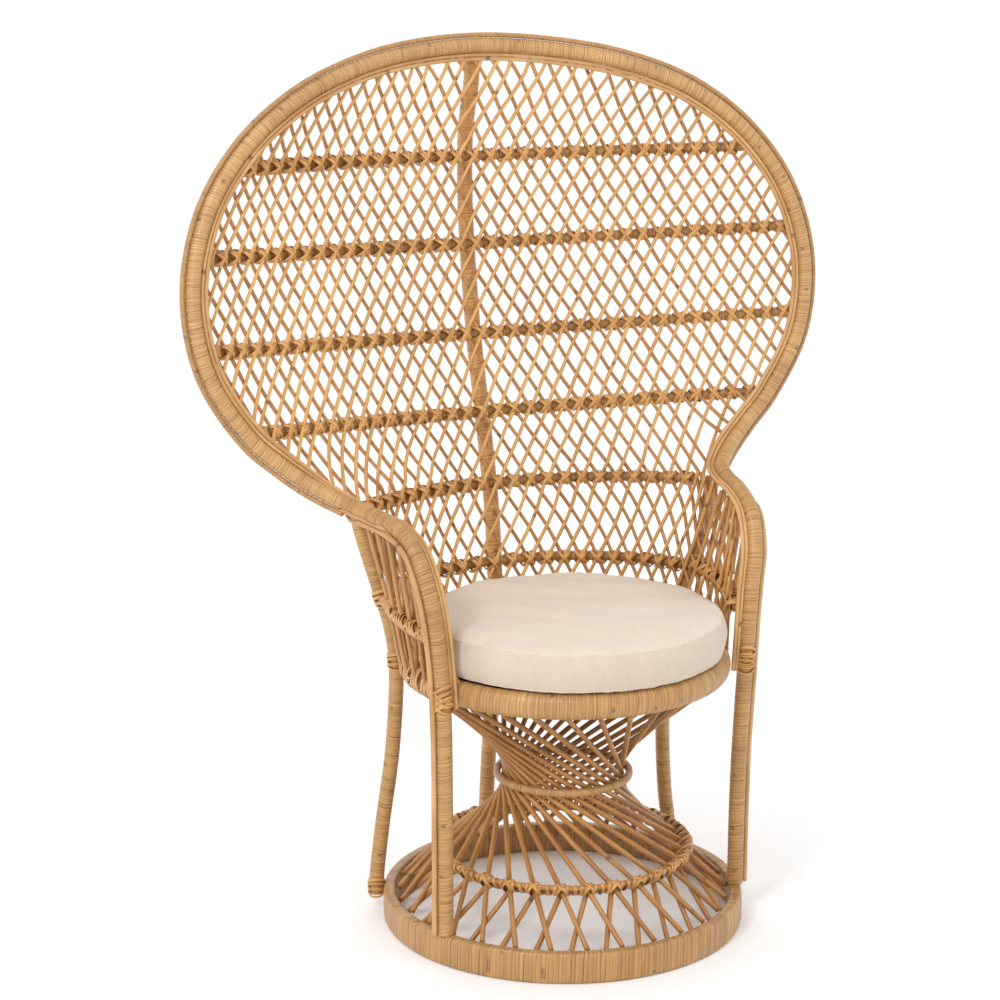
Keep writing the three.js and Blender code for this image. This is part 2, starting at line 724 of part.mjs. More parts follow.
function sideBar(side) {
  const path = share => side(sideBarPoint(share));
  const rear = bothLegs.map(([points, radius]) => [points.map(side), radius]);
  const front = rimPieces.map(([points, radius]) => [points.map(side), radius]);
  return fittedStick(path, SIDE_BAR_STEPS, SIDE_BAR_RADIUS, BAR_SIDES, rear, front);
}

// Shares of the side bar at which its spindles stand
const upperSpindleShares = [0.34, 0.45, 0.56, 0.67, 0.78];
const lowerSpindleShares = [0.3, 0.45, 0.6, 0.75];
const sideBarLine = [];
for (let step = 0; step <= 2 * SIDE_BAR_STEPS; step++) {
  sideBarLine.push(sideBarPoint(step / (2 * SIDE_BAR_STEPS)));
}

function spindle(foot, head, feet, heads, side) {
  const path = share => side(foot.clone().lerp(head, share));
  const turned = pieces => pieces.map(([points, radius]) => [points.map(side), radius]);
  return fittedStick(path, 1, SPINDLE_RADIUS, REED_SIDES, turned(feet), turned(heads));
}

function upperSpindle(place, side) {
  const foot = sideBarPoint(place);
  const head = pointWhere(armHalf, 'y', foot.y).add(V(SPINDLE_RADIUS, 0, 0));
  return spindle(foot, head, [[sideBarLine, SIDE_BAR_RADIUS]], armPieces, side);
}

function lowerSpindle(place, side) {
  const head = sideBarPoint(place);
  const away = head.clone().sub(V(0, SEAT_CENTRE, 0)).setZ(0).normalize();
  const outward = wallFootHalfWidth + LATTICE_THICKNESS / 2 + FIT + SPINDLE_RADIUS;
  const foot = away.multiplyScalar(outward).add(V(0, SEAT_CENTRE, 0));
  foot.z = hoopShoulder(foot, SPINDLE_RADIUS) + FIT;
  return spindle(foot, head, [], [[sideBarLine, SIDE_BAR_RADIUS]], side);
}

// Seat: the wrapped roll, the rail inside it and the panel that carries the cushion
function seatHoop() {
  const [halfWidth, halfHeight] = [SEAT_HOOP_WIDTH / 2, SEAT_HOOP_HEIGHT / 2];
  const outline = ovalOutline(seatRing, seatMiddle, halfWidth, halfHeight, SECTION_SIDES);
  return hoop(outline, HOOP_SEGMENTS).translate(0, SEAT_CENTRE, 0);
}

const railRing = SEAT_RADIUS - SEAT_HOOP_WIDTH - FIT - SEAT_RAIL_RADIUS;

function seatRail() {
  const outline = ovalOutline(railRing, seatMiddle, SEAT_RAIL_RADIUS, SEAT_RAIL_RADIUS, BAR_SIDES);
  return hoop(outline, HOOP_SEGMENTS).translate(0, SEAT_CENTRE, 0);
}

function seatDeck() {
  const radius = railRing - SEAT_RAIL_RADIUS - FIT;
  const low = seatMiddle - DECK_THICKNESS / 2;
  const high = low + DECK_THICKNESS;
  const outline = [[0, low], [radius, low], [radius, high], [0, high]];
  return turnedSolid(outline, HOOP_SEGMENTS).translate(0, SEAT_CENTRE, 0);
}

// A solid of revolution whose outline starts and ends on the axis
function turnedSolid(outline, segments) {
  const points = outline.map(([radius, height]) => new THREE.Vector2(radius, height));
  return new THREE.LatheGeometry(points, segments).rotateX(Math.PI / 2);
}

// Base: the band on the floor, the hoops above it and the reeds of the hourglass
function baseHoop() {
  const inner = BASE_RADIUS - BASE_WIDTH;
  const outline = [
    [inner + BASE_ROUND, 0], [BASE_RADIUS - BASE_ROUND, 0],
    [BASE_RADIUS, BASE_ROUND], [BASE_RADIUS, BASE_HEIGHT - BASE_ROUND],
    [BASE_RADIUS - BASE_ROUND, BASE_HEIGHT], [inner + BASE_ROUND, BASE_HEIGHT],
    [inner, BASE_HEIGHT - BASE_ROUND], [inner, BASE_ROUND],
  ];
  return hoop(outline, HOOP_SEGMENTS);
}

// Stations of the long reeds, from the seat to the base: radius and height
const longReed = [
  [SEAT_RADIUS - SEAT_INSET, SEAT_TOP - SEAT_HOOP_HEIGHT - FIT - BASE_REED_RADIUS],
  [WAIST_RADIUS, WAIST_HEIGHT - WAIST_BAND_HEIGHT / 2],
  [MID_HOOP_RADIUS, MID_HOOP_HEIGHT],
  [BASE_RADIUS - BASE_WIDTH - FIT - BASE_REED_RADIUS, BASE_HEIGHT - BASE_OVERLAP],
];

// Where a hoop lies against the bend of the long reeds, outside or inside
function besideBend(distance) {
  const [above, bend, below] = longReed.slice(1).map(place => new THREE.Vector2(...place));
  const first = bend.clone().sub(above).normalize();
  const second = below.clone().sub(bend).normalize();
  const along = first.add(second).normalize();
  return [bend.x - along.y * distance, bend.y + along.x * distance];
}

// A long reed is twisted a little past the line that would just touch the waist, above and below
const upperTwistShare = 1.163;
const lowerTwistShare = 1.067;

function touchingAngle([radius]) {
  return THREE.MathUtils.radToDeg(Math.acos(WAIST_RADIUS / radius));
}

// Azimuths of a long reed's stations from its start at the seat
const waistAngle = touchingAngle(longReed[0]) * upperTwistShare;
const bendAngle = waistAngle + touchingAngle(longReed[2]) * lowerTwistShare;
const longReedAngles = [0, waistAngle, bendAngle, bendAngle + SKIRT_TWIST_ANGLE];

const layer = BASE_REED_RADIUS + 2 * FIT + MID_REED_RADIUS;

function roundHoop([radius, height], thickness) {
  return hoop(ovalOutline(radius, height, thickness, thickness, REED_SIDES), HOOP_SEGMENTS);
}

function fuse(geometries) {
  return toGeometry(wasm.Manifold.union(geometries.map(toSolid)));
}

// Long reeds, held together by the hoop hidden inside the waist
function hourglassReeds() {
  const pieces = [];
  for (let k = 0; k < BASE_REEDS; k++) {
    const start = REED_START_ANGLE + FULL_TURN_ANGLE * k / BASE_REEDS;
    const points = longReed.map(([radius, height], place) => {
      return around(radius, start + longReedAngles[place], height);
    });
    pieces.push(stick(points, BASE_REED_RADIUS, REED_SIDES));
  }
  const outer = WAIST_RADIUS - BASE_REED_RADIUS / 2;
  const inner = outer - BASE_REED_RADIUS;
  const low = WAIST_HEIGHT - WAIST_BAND_HEIGHT / 2;
  const high = low + WAIST_BAND_HEIGHT / 2;
  pieces.push(hoop([[inner, low], [outer, low], [outer, high], [inner, high]], BASE_REEDS));
  return fuse(pieces);
}

// Short reeds from the mid hoop to the base, leaning the other way, on the inner of its two hoops
function skirtReeds() {
  const [radius, height] = besideBend(-layer);
  const [lowRadius, lowHeight] = longReed[3];
  const drop = 3 * BASE_REED_RADIUS + FIT;
  const knot = REED_START_ANGLE + bendAngle;
  const pieces = [roundHoop([radius, height], MID_REED_RADIUS)];
  for (let k = 0; k < BASE_REEDS; k++) {
    const start = knot + FULL_TURN_ANGLE * k / BASE_REEDS;
    const foot = around(lowRadius, start - SKIRT_TWIST_ANGLE, lowHeight - drop);
    pieces.push(stick([around(radius, start, height), foot], BASE_REED_RADIUS, REED_SIDES));
  }
  return fuse(pieces);
}

function waistRing() {
  const low = WAIST_HEIGHT - WAIST_BAND_HEIGHT / 2 + FIT;
  const high = low + WAIST_BAND_HEIGHT;
  const inner = WAIST_RADIUS + BASE_REED_RADIUS + 2 * FIT;
  const outer = inner + WAIST_BAND_WIDTH;
  return hoop([[inner, low], [outer, low], [outer, high], [inner, high]], HOOP_SEGMENTS);
}

// Cushion: a filled cover with its zip at the back
function cushionOutline(inset) {
  const radius = CUSHION_RADIUS - inset;
  const seam = radius - CUSHION_DRAW_IN;
  const low = SEAT_TOP + FIT + inset;
  const high = SEAT_TOP + FIT + CUSHION_HEIGHT - inset;
  return [
    [0, low], [seam - CUSHION_DRAW_IN, low], [seam, low + CUSHION_DRAW_IN / 2],
    [radius, mix(low, high, 1 / 3)], [radius, mix(low, high, 2 / 3)], [seam, high],
    [mix(0, seam, 2 / 3), high + CUSHION_CROWN * 2 / 3], [mix(0, seam, 1 / 3), high + CUSHION_CROWN],
    [0, high + CUSHION_CROWN],
  ];
}

function cushionSolid(inset) {
  return toSolid(turnedSolid(cushionOutline(inset), HOOP_SEGMENTS).translate(0, CUSHION_CENTRE, 0));
}

function zipBox(spare) {
  const depth = CUSHION_RADIUS;
  const box = new THREE.BoxGeometry(ZIP_LENGTH - 2 * spare, depth, ZIP_WIDTH - 2 * spare);
  return toSolid(box.translate(0, CUSHION_CENTRE + depth, SEAT_TOP + CUSHION_HEIGHT / 2));
}

function cushionPieces() {
  const shell = cushionSolid(0).subtract(cushionSolid(COVER_THICKNESS));
  return {
    cover: toGeometry(shell.subtract(zipBox(0))),
    zip: toGeometry(shell.intersect(zipBox(FIT))),
    foam: toGeometry(cushionSolid(COVER_THICKNESS + FIT)),
  };
}

const peel = [0xb98d57, 0.6];
const reed = [0xc79d64, 0.55];
const canvas = [0xd9cbb4, 0.95];

const chair = new THREE.Group();
chair.name = 'peacock_chair';

function addPiece(name, geometry, [color, roughness]) {
  const mesh = new THREE.Mesh(geometry, new THREE.MeshStandardMaterial({ color, roughness, metalness: 0 }));
  mesh.name = name;
  chair.add(mesh);
}

addPiece('base_hoop', baseHoop(), peel);
addPiece('mid_hoop', roundHoop(besideBend(layer), MID_REED_RADIUS), reed);
addPiece('skirt_reeds', skirtReeds(), reed);
addPiece('hourglass_reeds', hourglassReeds(), reed);
addPiece('waist_ring', waistRing(), peel);
addPiece('seat_hoop', seatHoop(), peel);
addPiece('seat_rail', seatRail(), reed);
addPiece('seat_deck', seatDeck(), reed);
addPiece('rim_pole', rimPole(), peel);
addPiece('rim_edging_reed', rimEdgingReed(), peel);
addPiece('inner_reed_outer', innerReed(innerEdges[0]), reed);
addPiece('inner_reed_inner', innerReed(innerEdges[1]), reed);
addPiece('spine', stick(spine, SPINE_RADIUS, POLE_SIDES), peel);
addPiece('lower_back_lattice', lowerBackLattice(), reed);
addPiece('lower_back_bar', lowerBackBar(), peel);
barShares.forEach((shares, k) => addPiece(`crossbar_${k + 1}`, crossbar(shares), peel));

for (const [hand, side] of [['right', asIs], ['left', mirror]]) {
  addPiece(`arm_pole_${hand}`, armPole(side), peel);
  addPiece(`arm_edging_reed_${hand}`, armEdgingReed(side), reed);
  addPiece(`rear_leg_${hand}`, rearLegStick(side), peel);
  addPiece(`back_lattice_${hand}`, backLattice(side), reed);
  addPiece(`side_lattice_${hand}`, sideLattice(side), reed);
  addPiece(`side_bar_${hand}`, sideBar(side), peel);
  upperSpindleShares.forEach((place, k) => {
    addPiece(`upper_spindle_${hand}_${k + 1}`, upperSpindle(place, side), reed);
  });
  lowerSpindleShares.forEach((place, k) => {
    addPiece(`lower_spindle_${hand}_${k + 1}`, lowerSpindle(place, side), reed);
  });
}

const cushion = cushionPieces();
addPiece('cushion_cover', cushion.cover, canvas);
addPiece('cushion_foam', cushion.foam, canvas);
addPiece('cushion_zip', cushion.zip, canvas);

// The middle of the chair's depth stands over the origin
const box = new THREE.Box3().setFromObject(chair);
const shift = -(box.min.y + box.max.y) / 2;
chair.children.forEach(piece => piece.geometry.translate(0, shift, 0));

export default chair;
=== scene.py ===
# A peacock chair of wound rattan with a loose canvas cushion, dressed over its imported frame.
# Metres, +Z up, the sitter faces -Y.
import math

import bpy
import numpy as np
from mathutils import Euler, Matrix, Vector
from mathutils.bvhtree import BVHTree


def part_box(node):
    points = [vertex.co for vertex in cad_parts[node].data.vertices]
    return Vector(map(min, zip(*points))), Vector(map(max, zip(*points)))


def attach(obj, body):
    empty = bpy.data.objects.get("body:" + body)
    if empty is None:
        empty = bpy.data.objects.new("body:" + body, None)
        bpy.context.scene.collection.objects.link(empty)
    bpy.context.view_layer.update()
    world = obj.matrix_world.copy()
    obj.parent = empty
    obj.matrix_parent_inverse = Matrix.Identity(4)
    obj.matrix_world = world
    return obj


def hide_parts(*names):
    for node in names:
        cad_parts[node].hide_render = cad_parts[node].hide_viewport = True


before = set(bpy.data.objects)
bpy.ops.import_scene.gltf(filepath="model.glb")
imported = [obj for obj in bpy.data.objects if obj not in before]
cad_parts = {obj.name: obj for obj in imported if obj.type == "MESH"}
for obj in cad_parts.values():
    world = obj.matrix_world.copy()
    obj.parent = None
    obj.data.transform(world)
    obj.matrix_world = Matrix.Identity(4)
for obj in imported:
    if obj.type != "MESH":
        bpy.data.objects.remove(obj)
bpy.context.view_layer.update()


# Camera: it stands to the front left of the chair at eye height and looks slightly down.
# Its place is counted from the middle of the ring on the floor, as every place below.
CAMERA_AZIMUTH, CAMERA_DISTANCE, CAMERA_HEIGHT = -26.025, 4.1425, 1.705
CAMERA_PAN, CAMERA_TILT = 1.5045, 13.137
CAMERA_LENS, CAMERA_SENSOR, CAMERA_REACH = 91.0, 36.0, 50
base_low, base_high = (np.array(corner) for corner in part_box("base_hoop"))
CENTRE = np.array([0.0, (base_low[1] + base_high[1]) / 2, base_low[2]])


def around(radius, azimuth, height, setback=0.0):
    """A point round about the middle, its azimuth counted in degrees from the front."""
    turn = np.radians(azimuth)
    return np.stack(np.broadcast_arrays(
        radius * np.sin(turn), setback - radius * np.cos(turn), height), axis=-1)


def placed(name, data):
    thing = bpy.data.objects.new(name, data)
    bpy.context.scene.collection.objects.link(thing)
    return thing


view = bpy.data.cameras.new("view")
view.sensor_width = CAMERA_SENSOR
view.lens = CAMERA_LENS
view.clip_end = CAMERA_REACH
camera = placed("camera", view)
camera_turns = (90 - CAMERA_TILT, 0, CAMERA_AZIMUTH + CAMERA_PAN)
camera.matrix_world = Matrix.LocRotScale(
    Vector(CENTRE + around(CAMERA_DISTANCE, CAMERA_AZIMUTH, CAMERA_HEIGHT)),
    Euler([math.radians(turn) for turn in camera_turns]), None)
bpy.context.scene.camera = camera


# Studio: a pale floor under a bright even surround, a large soft lamp from the front left, a
# weaker one from the right and one from behind.
FLOOR_SIZE = 40.0
FLOOR_ROUGHNESS = 0.85
FLOOR_COLOUR = (0.96, 0.96, 0.96, 1)
SURROUND_STRENGTH = 1.06
LAMPS_AIM = (0, 0, 0.8)
# Place, power and size
LAMPS = {
    "key_lamp": ((-2.6, -1.9, 3.2), 50, 0.9),
    "fill_lamp": ((2.0, -2.4, 3.4), 6, 2.0),
    "back_lamp": ((0.5, 3.0, 3.0), 16, 2.0),
}


def fill(tree, node, sockets):
    """Set or link the inputs of a node."""
    for key, value in sockets.items():
        if isinstance(value, bpy.types.NodeSocket):
            tree.links.new(value, node.inputs[key])
        else:
            node.inputs[key].default_value = value


def new_finish(name):
    finish = bpy.data.materials.new(name)
    finish.use_nodes = True
    return finish, finish.node_tree


def to_shader(tree, sockets):
    fill(tree, tree.nodes["Principled BSDF"], sockets)


world = bpy.data.worlds.new("surround")
world.use_nodes = True
surround = {"Color": (1, 1, 1, 1), "Strength": SURROUND_STRENGTH}
fill(world.node_tree, world.node_tree.nodes["Background"], surround)
bpy.context.scene.world = world
bpy.context.scene.view_settings.view_transform = "Standard"

for name, (place, power, size) in LAMPS.items():
    lamp = bpy.data.lights.new(name, "AREA")
    lamp.energy = power
    lamp.shape = "DISK"
    lamp.size = size
    holder = placed(name, lamp)
    holder.location = Vector(CENTRE) + Vector(place)
    aim = Vector(LAMPS_AIM) - Vector(place)
    holder.rotation_euler = aim.to_track_quat("-Z", "Y").to_euler()

half = FLOOR_SIZE / 2
floor_mesh = bpy.data.meshes.new("floor")
floor_corners = [(-half, -half, 0), (half, -half, 0), (half, half, 0), (-half, half, 0)]
floor_mesh.from_pydata(floor_corners, [], [(0, 1, 2, 3)])
floor = placed("floor", floor_mesh)
floor.location.z = base_low[2]
floor_finish, floor_tree = new_finish("pale_floor")
to_shader(floor_tree, {"Base Color": FLOOR_COLOUR, "Roughness": FLOOR_ROUGHNESS})
floor_mesh.materials.append(floor_finish)


# Rim: the thick pole of the balloon, wound edge to edge with strips of rattan peel. The strips
# are a few millimetres wide, and here and there the seam between two of them opens and darkens.
FIT = 0.0003
TOP_HEIGHT, TOP_SETBACK = 1.476, 0.353
RIM_HALF_WIDTH, RIM_RADIUS, RIM_STRIP = 0.578, 0.013, 0.0047
NECK_HEIGHT, NECK_HALF_WIDTH, NECK_SETBACK = 0.745, 0.355, 0.095
LEG_HALF_WIDTH, LEG_ADVANCE = 0.275, 0.122
BASE_HEIGHT = 0.053
SPAN_STEPS = 12
LINE_STEP = 0.003
SEAM_DEPTH, OPEN_SEAM_DEPTH, TURN_RISE = 0.0003, 0.0011, 0.00012
# Share of a strip's width that the turns drift by, in two waves, and where a seam opens
TURN_DRIFTS, OPENS_FROM = (0.13, 0.08), 0.8
# Every strip's grain starts somewhere along this length
GRAIN_LENGTH = 40
PEEL_LIGHT = (0.63, 0.375, 0.142)
PEEL_DARK = (0.4, 0.205, 0.064)
PEEL_SHADE = (0.085, 0.034, 0.012)
KNOT_BROWN = (0.13, 0.055, 0.022, 1)
GLINT = (0.85, 0.62, 0.36, 1)
PEEL_BUMP = 0.0003
# A quad's corners counted the other way round
TURNED = [0, 3, 2, 1]

# Foot to neck: the way across, back and up, as shares
arm_shares = [
    (0.01, -0.01, 0.35), (0.08, -0.04, 0.613), (0.21, -0.02, 0.788), (0.34, 0.02, 0.874),
    (0.46, 0.17, 0.948), (0.59, 0.44, 0.981), (0.76, 0.74, 0.989),
]
# Neck to top: a share of the half width, and the way back and up as shares
rim_shares = [
    (0.69, 0.186, 0.034), (0.772, 0.283, 0.085), (0.853, 0.322, 0.146), (0.969, 0.357, 0.298),
    (1, 0.411, 0.473), (0.945, 0.481, 0.646), (0.817, 0.562, 0.789), (0.638, 0.651, 0.895),
    (0.434, 0.783, 0.958), (0.223, 0.938, 0.989),
]


def mix(start, end, share):
    return start + (end - start) * share


def smoothstep(value, low, high):
    share = np.clip((value - low) / (high - low), 0, 1)
    return share * share * (3 - 2 * share)


def unit(vectors):
    return vectors / np.linalg.norm(vectors, axis=-1, keepdims=True)


def through(points, steps):
    """A smooth line through points, the pull of each one set by its distances."""
    points = np.array(points, float)
    padded = np.vstack([2 * points[0] - points[1], points, 2 * points[-1] - points[-2]])
    line = [points[0]]
    for a, b, c, d in zip(padded, padded[1:], padded[2:], padded[3:]):
        before, over, after = (
            math.sqrt(np.linalg.norm(q - p)) for p, q in ((a, b), (b, c), (c, d)))
        leave = over * ((b - a) / before - (c - a) / (before + over) + (c - b) / over)
        arrive = over * ((c - b) / over - (d - b) / (over + after) + (d - c) / after)
        for step in range(1, steps + 1):
            t = step / steps
            line.append(
                b + leave * t + (3 * (c - b) - 2 * leave - arrive) * t**2
                + (2 * (b - c) + leave + arrive) * t**3)
    return np.array(line)


def reach_along(line):
    return np.concatenate([[0], np.cumsum(np.linalg.norm(np.diff(line, axis=0), axis=1))])


def at_places(places, reach, values):
    return np.stack([np.interp(places, reach, values[:, k]) for k in range(3)], axis=-1)


def evenly(line, spacing):
    reach = reach_along(line)
    count = max(int(round(reach[-1] / spacing)), 2)
    return at_places(np.linspace(0, reach[-1], count + 1), reach, line)


def directions(line, closed=False):
    if closed:
        return unit(np.roll(line, -1, axis=0) - np.roll(line, 1, axis=0))
    return unit(np.gradient(line, axis=0))


def carried_frames(line):
    """Two directions square to a line, carried along it without twisting."""
    ahead = directions(line)
    lead = np.array([0.0, 1.0, 0.0] if abs(ahead[0][2]) > 0.9 else [0.0, 0.0, 1.0])
    side = unit(np.cross(ahead[0], lead))
    sides = []
    for direction in ahead:
        side = unit(side - direction * np.dot(side, direction))
        sides.append(side)
    return np.array(sides), np.cross(ahead, sides)


def corner_places(u0, u1, v0, v1):
    """Places of the corners of quads on their strip, in the order of their points."""
    u0, u1, v0, v1 = np.broadcast_arrays(u0, u1, v0, v1)
    return np.stack([u0, v0, u0, v1, u1, v1, u1, v0], axis=-1).reshape(u0.shape + (4, 2))


def capped(faces, corners, index, turned, place):
    """Faces with both ends closed by fans, whose corners all have one place."""
    fan = np.array([[0, k, k + 1, k + 2] for k in range(1, index.shape[1] - 2, 2)])
    step = 1 if turned else -1
    caps = np.concatenate([index[0][fan[:, ::step]], index[-1][fan[:, ::-step]]])
    places = np.full((len(caps), 4, 2), place)
    return np.concatenate([faces, caps]), np.concatenate([corners, places])


def skin(batch, points, corners, turned=False, cap=None):
    """Quads over rows of points, closed across, and along too if every row has its corners."""
    index = np.arange(points[..., 0].size).reshape(points.shape[:2])
    beside = np.roll(index, -1, axis=1)
    ahead, past = np.roll(index, -1, axis=0), np.roll(beside, -1, axis=0)
    faces = np.stack([index, beside, past, ahead], axis=-1)[: len(corners)]
    if turned:
        faces, corners = faces[..., TURNED], corners[..., TURNED, :]
    faces, corners = faces.reshape(-1, 4), corners.reshape(-1, 4, 2)
    if cap is not None:
        faces, corners = capped(faces, corners, index, turned, cap)
    batch.add(points, faces, corners)


class Batch:
    """Gathers points, faces, and the place of each corner on its strip or reed."""

    def __init__(self):
        self.points, self.faces, self.corners, self.count = [], [], [], 0

    def add(self, points, faces, corners):
        self.points.append(points.reshape(-1, 3))
        self.faces.append(faces + self.count)
        self.corners.append(corners)
        self.count += len(self.points[-1])

    def piece(self, name, finish, slot, *nodes, body="frame"):
        points = np.concatenate(self.points) + CENTRE
        faces, corners = np.concatenate(self.faces), np.concatenate(self.corners)
        # A corner that equals the one before it goes, and a face with fewer than three
        keep = faces != np.roll(faces, 1, axis=1)
        whole = keep.sum(axis=1) > 2
        faces, corners, keep = faces[whole], corners[whole], keep[whole]
        totals = keep.sum(axis=1)
        mesh = bpy.data.meshes.new(name)
        mesh.vertices.add(len(points))
        mesh.vertices.foreach_set("co", points.ravel())
        mesh.loops.add(int(totals.sum()))
        mesh.loops.foreach_set("vertex_index", faces[keep])
        mesh.polygons.add(len(faces))
        mesh.polygons.foreach_set("loop_start", np.cumsum(totals) - totals)
        mesh.polygons.foreach_set("use_smooth", np.ones(len(faces), bool))
        mesh.uv_layers.new(name="peel")
        mesh.uv_layers["peel"].data.foreach_set("uv", corners[keep].ravel())
        mesh.update(calc_edges=True)
        mesh.validate()
        mesh.materials.append(finish)
        thing = placed(name, mesh)
        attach(thing, body)
        if nodes:
            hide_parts(*nodes)


def oval(half_width, half_height, sides, squareness=2.0):
    """Points of an oval section that nears a box as it gets squarer, with their normals."""
    angles = 2 * math.pi * np.arange(sides) / sides
    outline = np.stack([
        half * np.sign(wave) * np.abs(wave) ** (2 / squareness)
        for half, wave in ((half_width, np.cos(angles)), (half_height, np.sin(angles)))
    ], axis=1)
    edge = np.roll(outline, -1, axis=0) - np.roll(outline, 1, axis=0)
    return outline, unit(np.stack([edge[:, 1], -edge[:, 0]], axis=1))


def wound(batch, line, section, strip, seed, hand=1):
    """One strip of peel wound about a line, turn beside turn, as a closed skin. A ring comes
    as its line with its directions outward and up."""
    outline, normals = section
    if hand < 0:
        outline, normals = outline * (1, -1), normals * (1, -1)
    sides = len(outline)
    draws = np.random.default_rng(seed)
    phases = draws.uniform(0, 2 * math.pi, 8)
    # Rows of points on each turn: the seam, then the strip's near edge, middle and far edge
    fractions = np.array([0, 0.13, 0.5, 0.87])
    swells = np.array([-1.0, -0.15, 0.0, -0.15])
    rows = len(fractions)
    ring = isinstance(line, tuple)
    if ring:
        middle, side, up = line
    else:
        middle = evenly(line, LINE_STEP)
        side, up = carried_frames(middle)
    reach = reach_along(middle)
    length = reach[-1]
    first, turns = (0, round(length / strip)) if ring else (-2, math.ceil(length / strip) + 2)
    # Two waves for the drift of the turns and two for the patches where seams open
    rates = np.array([1.7, 4.1, 0.77, 2.3])
    if ring:
        # The waves come round to where they began
        strip = length / turns
        rates = 2 * math.pi / turns * np.round(rates * turns / (2 * math.pi))
    row = np.arange(first * rows, turns * rows)[:, None]
    kind = row % rows
    turn = row // rows + np.arange(sides) / sides
    step = turn + fractions[kind]
    wave = sum(TURN_DRIFTS[k] * np.sin(rates[k] * step + phases[k]) for k in (0, 1))
    patch = sum(np.sin(rates[k] * turn + phases[k]) for k in (2, 3))
    place = (step + wave) * strip
    depth = SEAM_DEPTH + OPEN_SEAM_DEPTH * np.clip(patch - OPENS_FROM, 0, 1)
    level = swells[kind] * np.where(kind == 0, depth, SEAM_DEPTH)
    level = level + TURN_RISE * np.sin(2.9 * turn + phases[4]) * (kind != 0)
    if ring:
        place = place % length
    else:
        below, above = place <= 0, place >= length
        level = np.where(below | above, -SEAM_DEPTH, level)
        place = np.clip(place, 0, length)
    centre, across, upward = (at_places(place, reach, v) for v in (middle, side, up))
    flat = outline + normals * level[..., None]
    points = centre + across * flat[..., :1] + upward * flat[..., 1:]
    index = np.arange(len(row) * sides).reshape(-1, sides)
    if ring:
        near = np.concatenate([index, np.roll(index[:, :1], -rows, axis=0)], axis=1)
        far = np.roll(near, -1, axis=0)
    else:
        index = np.where(below, index[:1], np.where(above, index[-1:], index))
        joined = np.concatenate([index[:-rows], index[rows:, :1]], axis=1)
        near, far, kind, row = joined[:-1], joined[1:], kind[: -rows - 1], row[: -rows - 1]
    faces = np.stack([near[:, :-1], near[:, 1:], far[:, 1:], far[:, :-1]], axis=-1)
    girth = np.linalg.norm(outline - np.roll(outline, -1, axis=0), axis=1).sum()
    u = (row // rows + np.arange(sides) / sides) * girth + GRAIN_LENGTH * draws.uniform()
    v0, v1 = fractions[kind], np.append(fractions[1:], 1)[kind]
    corners = corner_places(u, u + girth / sides, v0, v1)[..., TURNED, :]
    if hand < 0:
        faces, corners = faces[..., ::-1], corners[..., ::-1, :]
    faces, corners = faces.reshape(-1, 4), corners.reshape(-1, 4, 2)
    if not ring:
        faces, corners = capped(faces, corners, index, hand < 0, 0.5)
    used, compact = np.unique(faces, return_inverse=True)
    batch.add(points.reshape(-1, 3)[used], compact.reshape(-1, 4), corners)


def wound_piece(name, finish, node, *strip, **options):
    batch = Batch()
    wound(batch, *strip, **options)
    batch.piece(name, finish, "wrapped_cane", node)


def add_node(tree, kind, sockets, **settings):
    node = tree.nodes.new(kind)
    for key, value in settings.items():
        setattr(node, key, value)
    fill(tree, node, sockets)
    return node


def sums(tree, operation, *values, clamp=False):
    values = dict(enumerate(values))
    return add_node(tree, "ShaderNodeMath", values, operation=operation, use_clamp=clamp).outputs[0]


def times(tree, value, *factors):
    for factor in factors:
        value = sums(tree, "MULTIPLY", value, factor)
    return value


def blended(tree, share, one, other, blend="MIX"):
    values = {0: share, 6: one, 7: other}
    return add_node(tree, "ShaderNodeMix", values, data_type="RGBA", blend_type=blend).outputs[2]


def eased(tree, value, low, high, start=0.0, end=1.0):
    values = dict(enumerate((value, low, high, start, end)))
    kind = "ShaderNodeMapRange"
    return add_node(tree, kind, values, interpolation_type="SMOOTHSTEP").outputs[0]


def noise_at(tree, vector, scale=1.0, detail=2.0, roughness=0.5):
    values = {"Vector": vector, "Scale": scale, "Detail": detail, "Roughness": roughness}
    return add_node(tree, "ShaderNodeTexNoise", values).outputs[0]


def on_object(tree):
    return add_node(tree, "ShaderNodeTexCoord", {}).outputs["Object"]


def parted(tree, vector):
    return add_node(tree, "ShaderNodeSeparateXYZ", {"Vector": vector}).outputs


def on_strip(tree, layer):
    return parted(tree, add_node(tree, "ShaderNodeUVMap", {}, uv_map=layer).outputs[0])


def new_group(name, **knobs):
    """A group that the finishes share. It gives out a colour, a roughness and a height."""
    group = bpy.data.node_groups.new(name, "ShaderNodeTree")
    for label, value in knobs.items():
        kind = "NodeSocketFloat" if isinstance(value, float) else "NodeSocketColor"
        socket = group.interface.new_socket(label, in_out="INPUT", socket_type=kind)
        socket.default_value = value if isinstance(value, float) else (*value, 1)
    for label, kind in (("Colour", "Color"), ("Roughness", "Float"), ("Height", "Float")):
        group.interface.new_socket(label, in_out="OUTPUT", socket_type="NodeSocket" + kind)
    inputs, outputs = (group.nodes.new("NodeGroup" + way) for way in ("Input", "Output"))
    return group, inputs.outputs, outputs


def grained(name, group, knobs, bump_strength, bump_height, own):
    """A finish that takes its colour, roughness and height from a group, with its own values."""
    finish, tree = new_finish(name)
    knobs = {k: (*v, 1) if isinstance(v, tuple) else v for k, v in knobs.items()}
    grain = add_node(tree, "ShaderNodeGroup", knobs, node_tree=group).outputs
    bump = add_node(tree, "ShaderNodeBump", {
        "Strength": bump_strength, "Distance": bump_height, "Height": grain["Height"]})
    to_shader(tree, {
        "Base Color": grain["Colour"], "Roughness": grain["Roughness"], "Normal": bump.outputs[0],
        **own})
    return finish


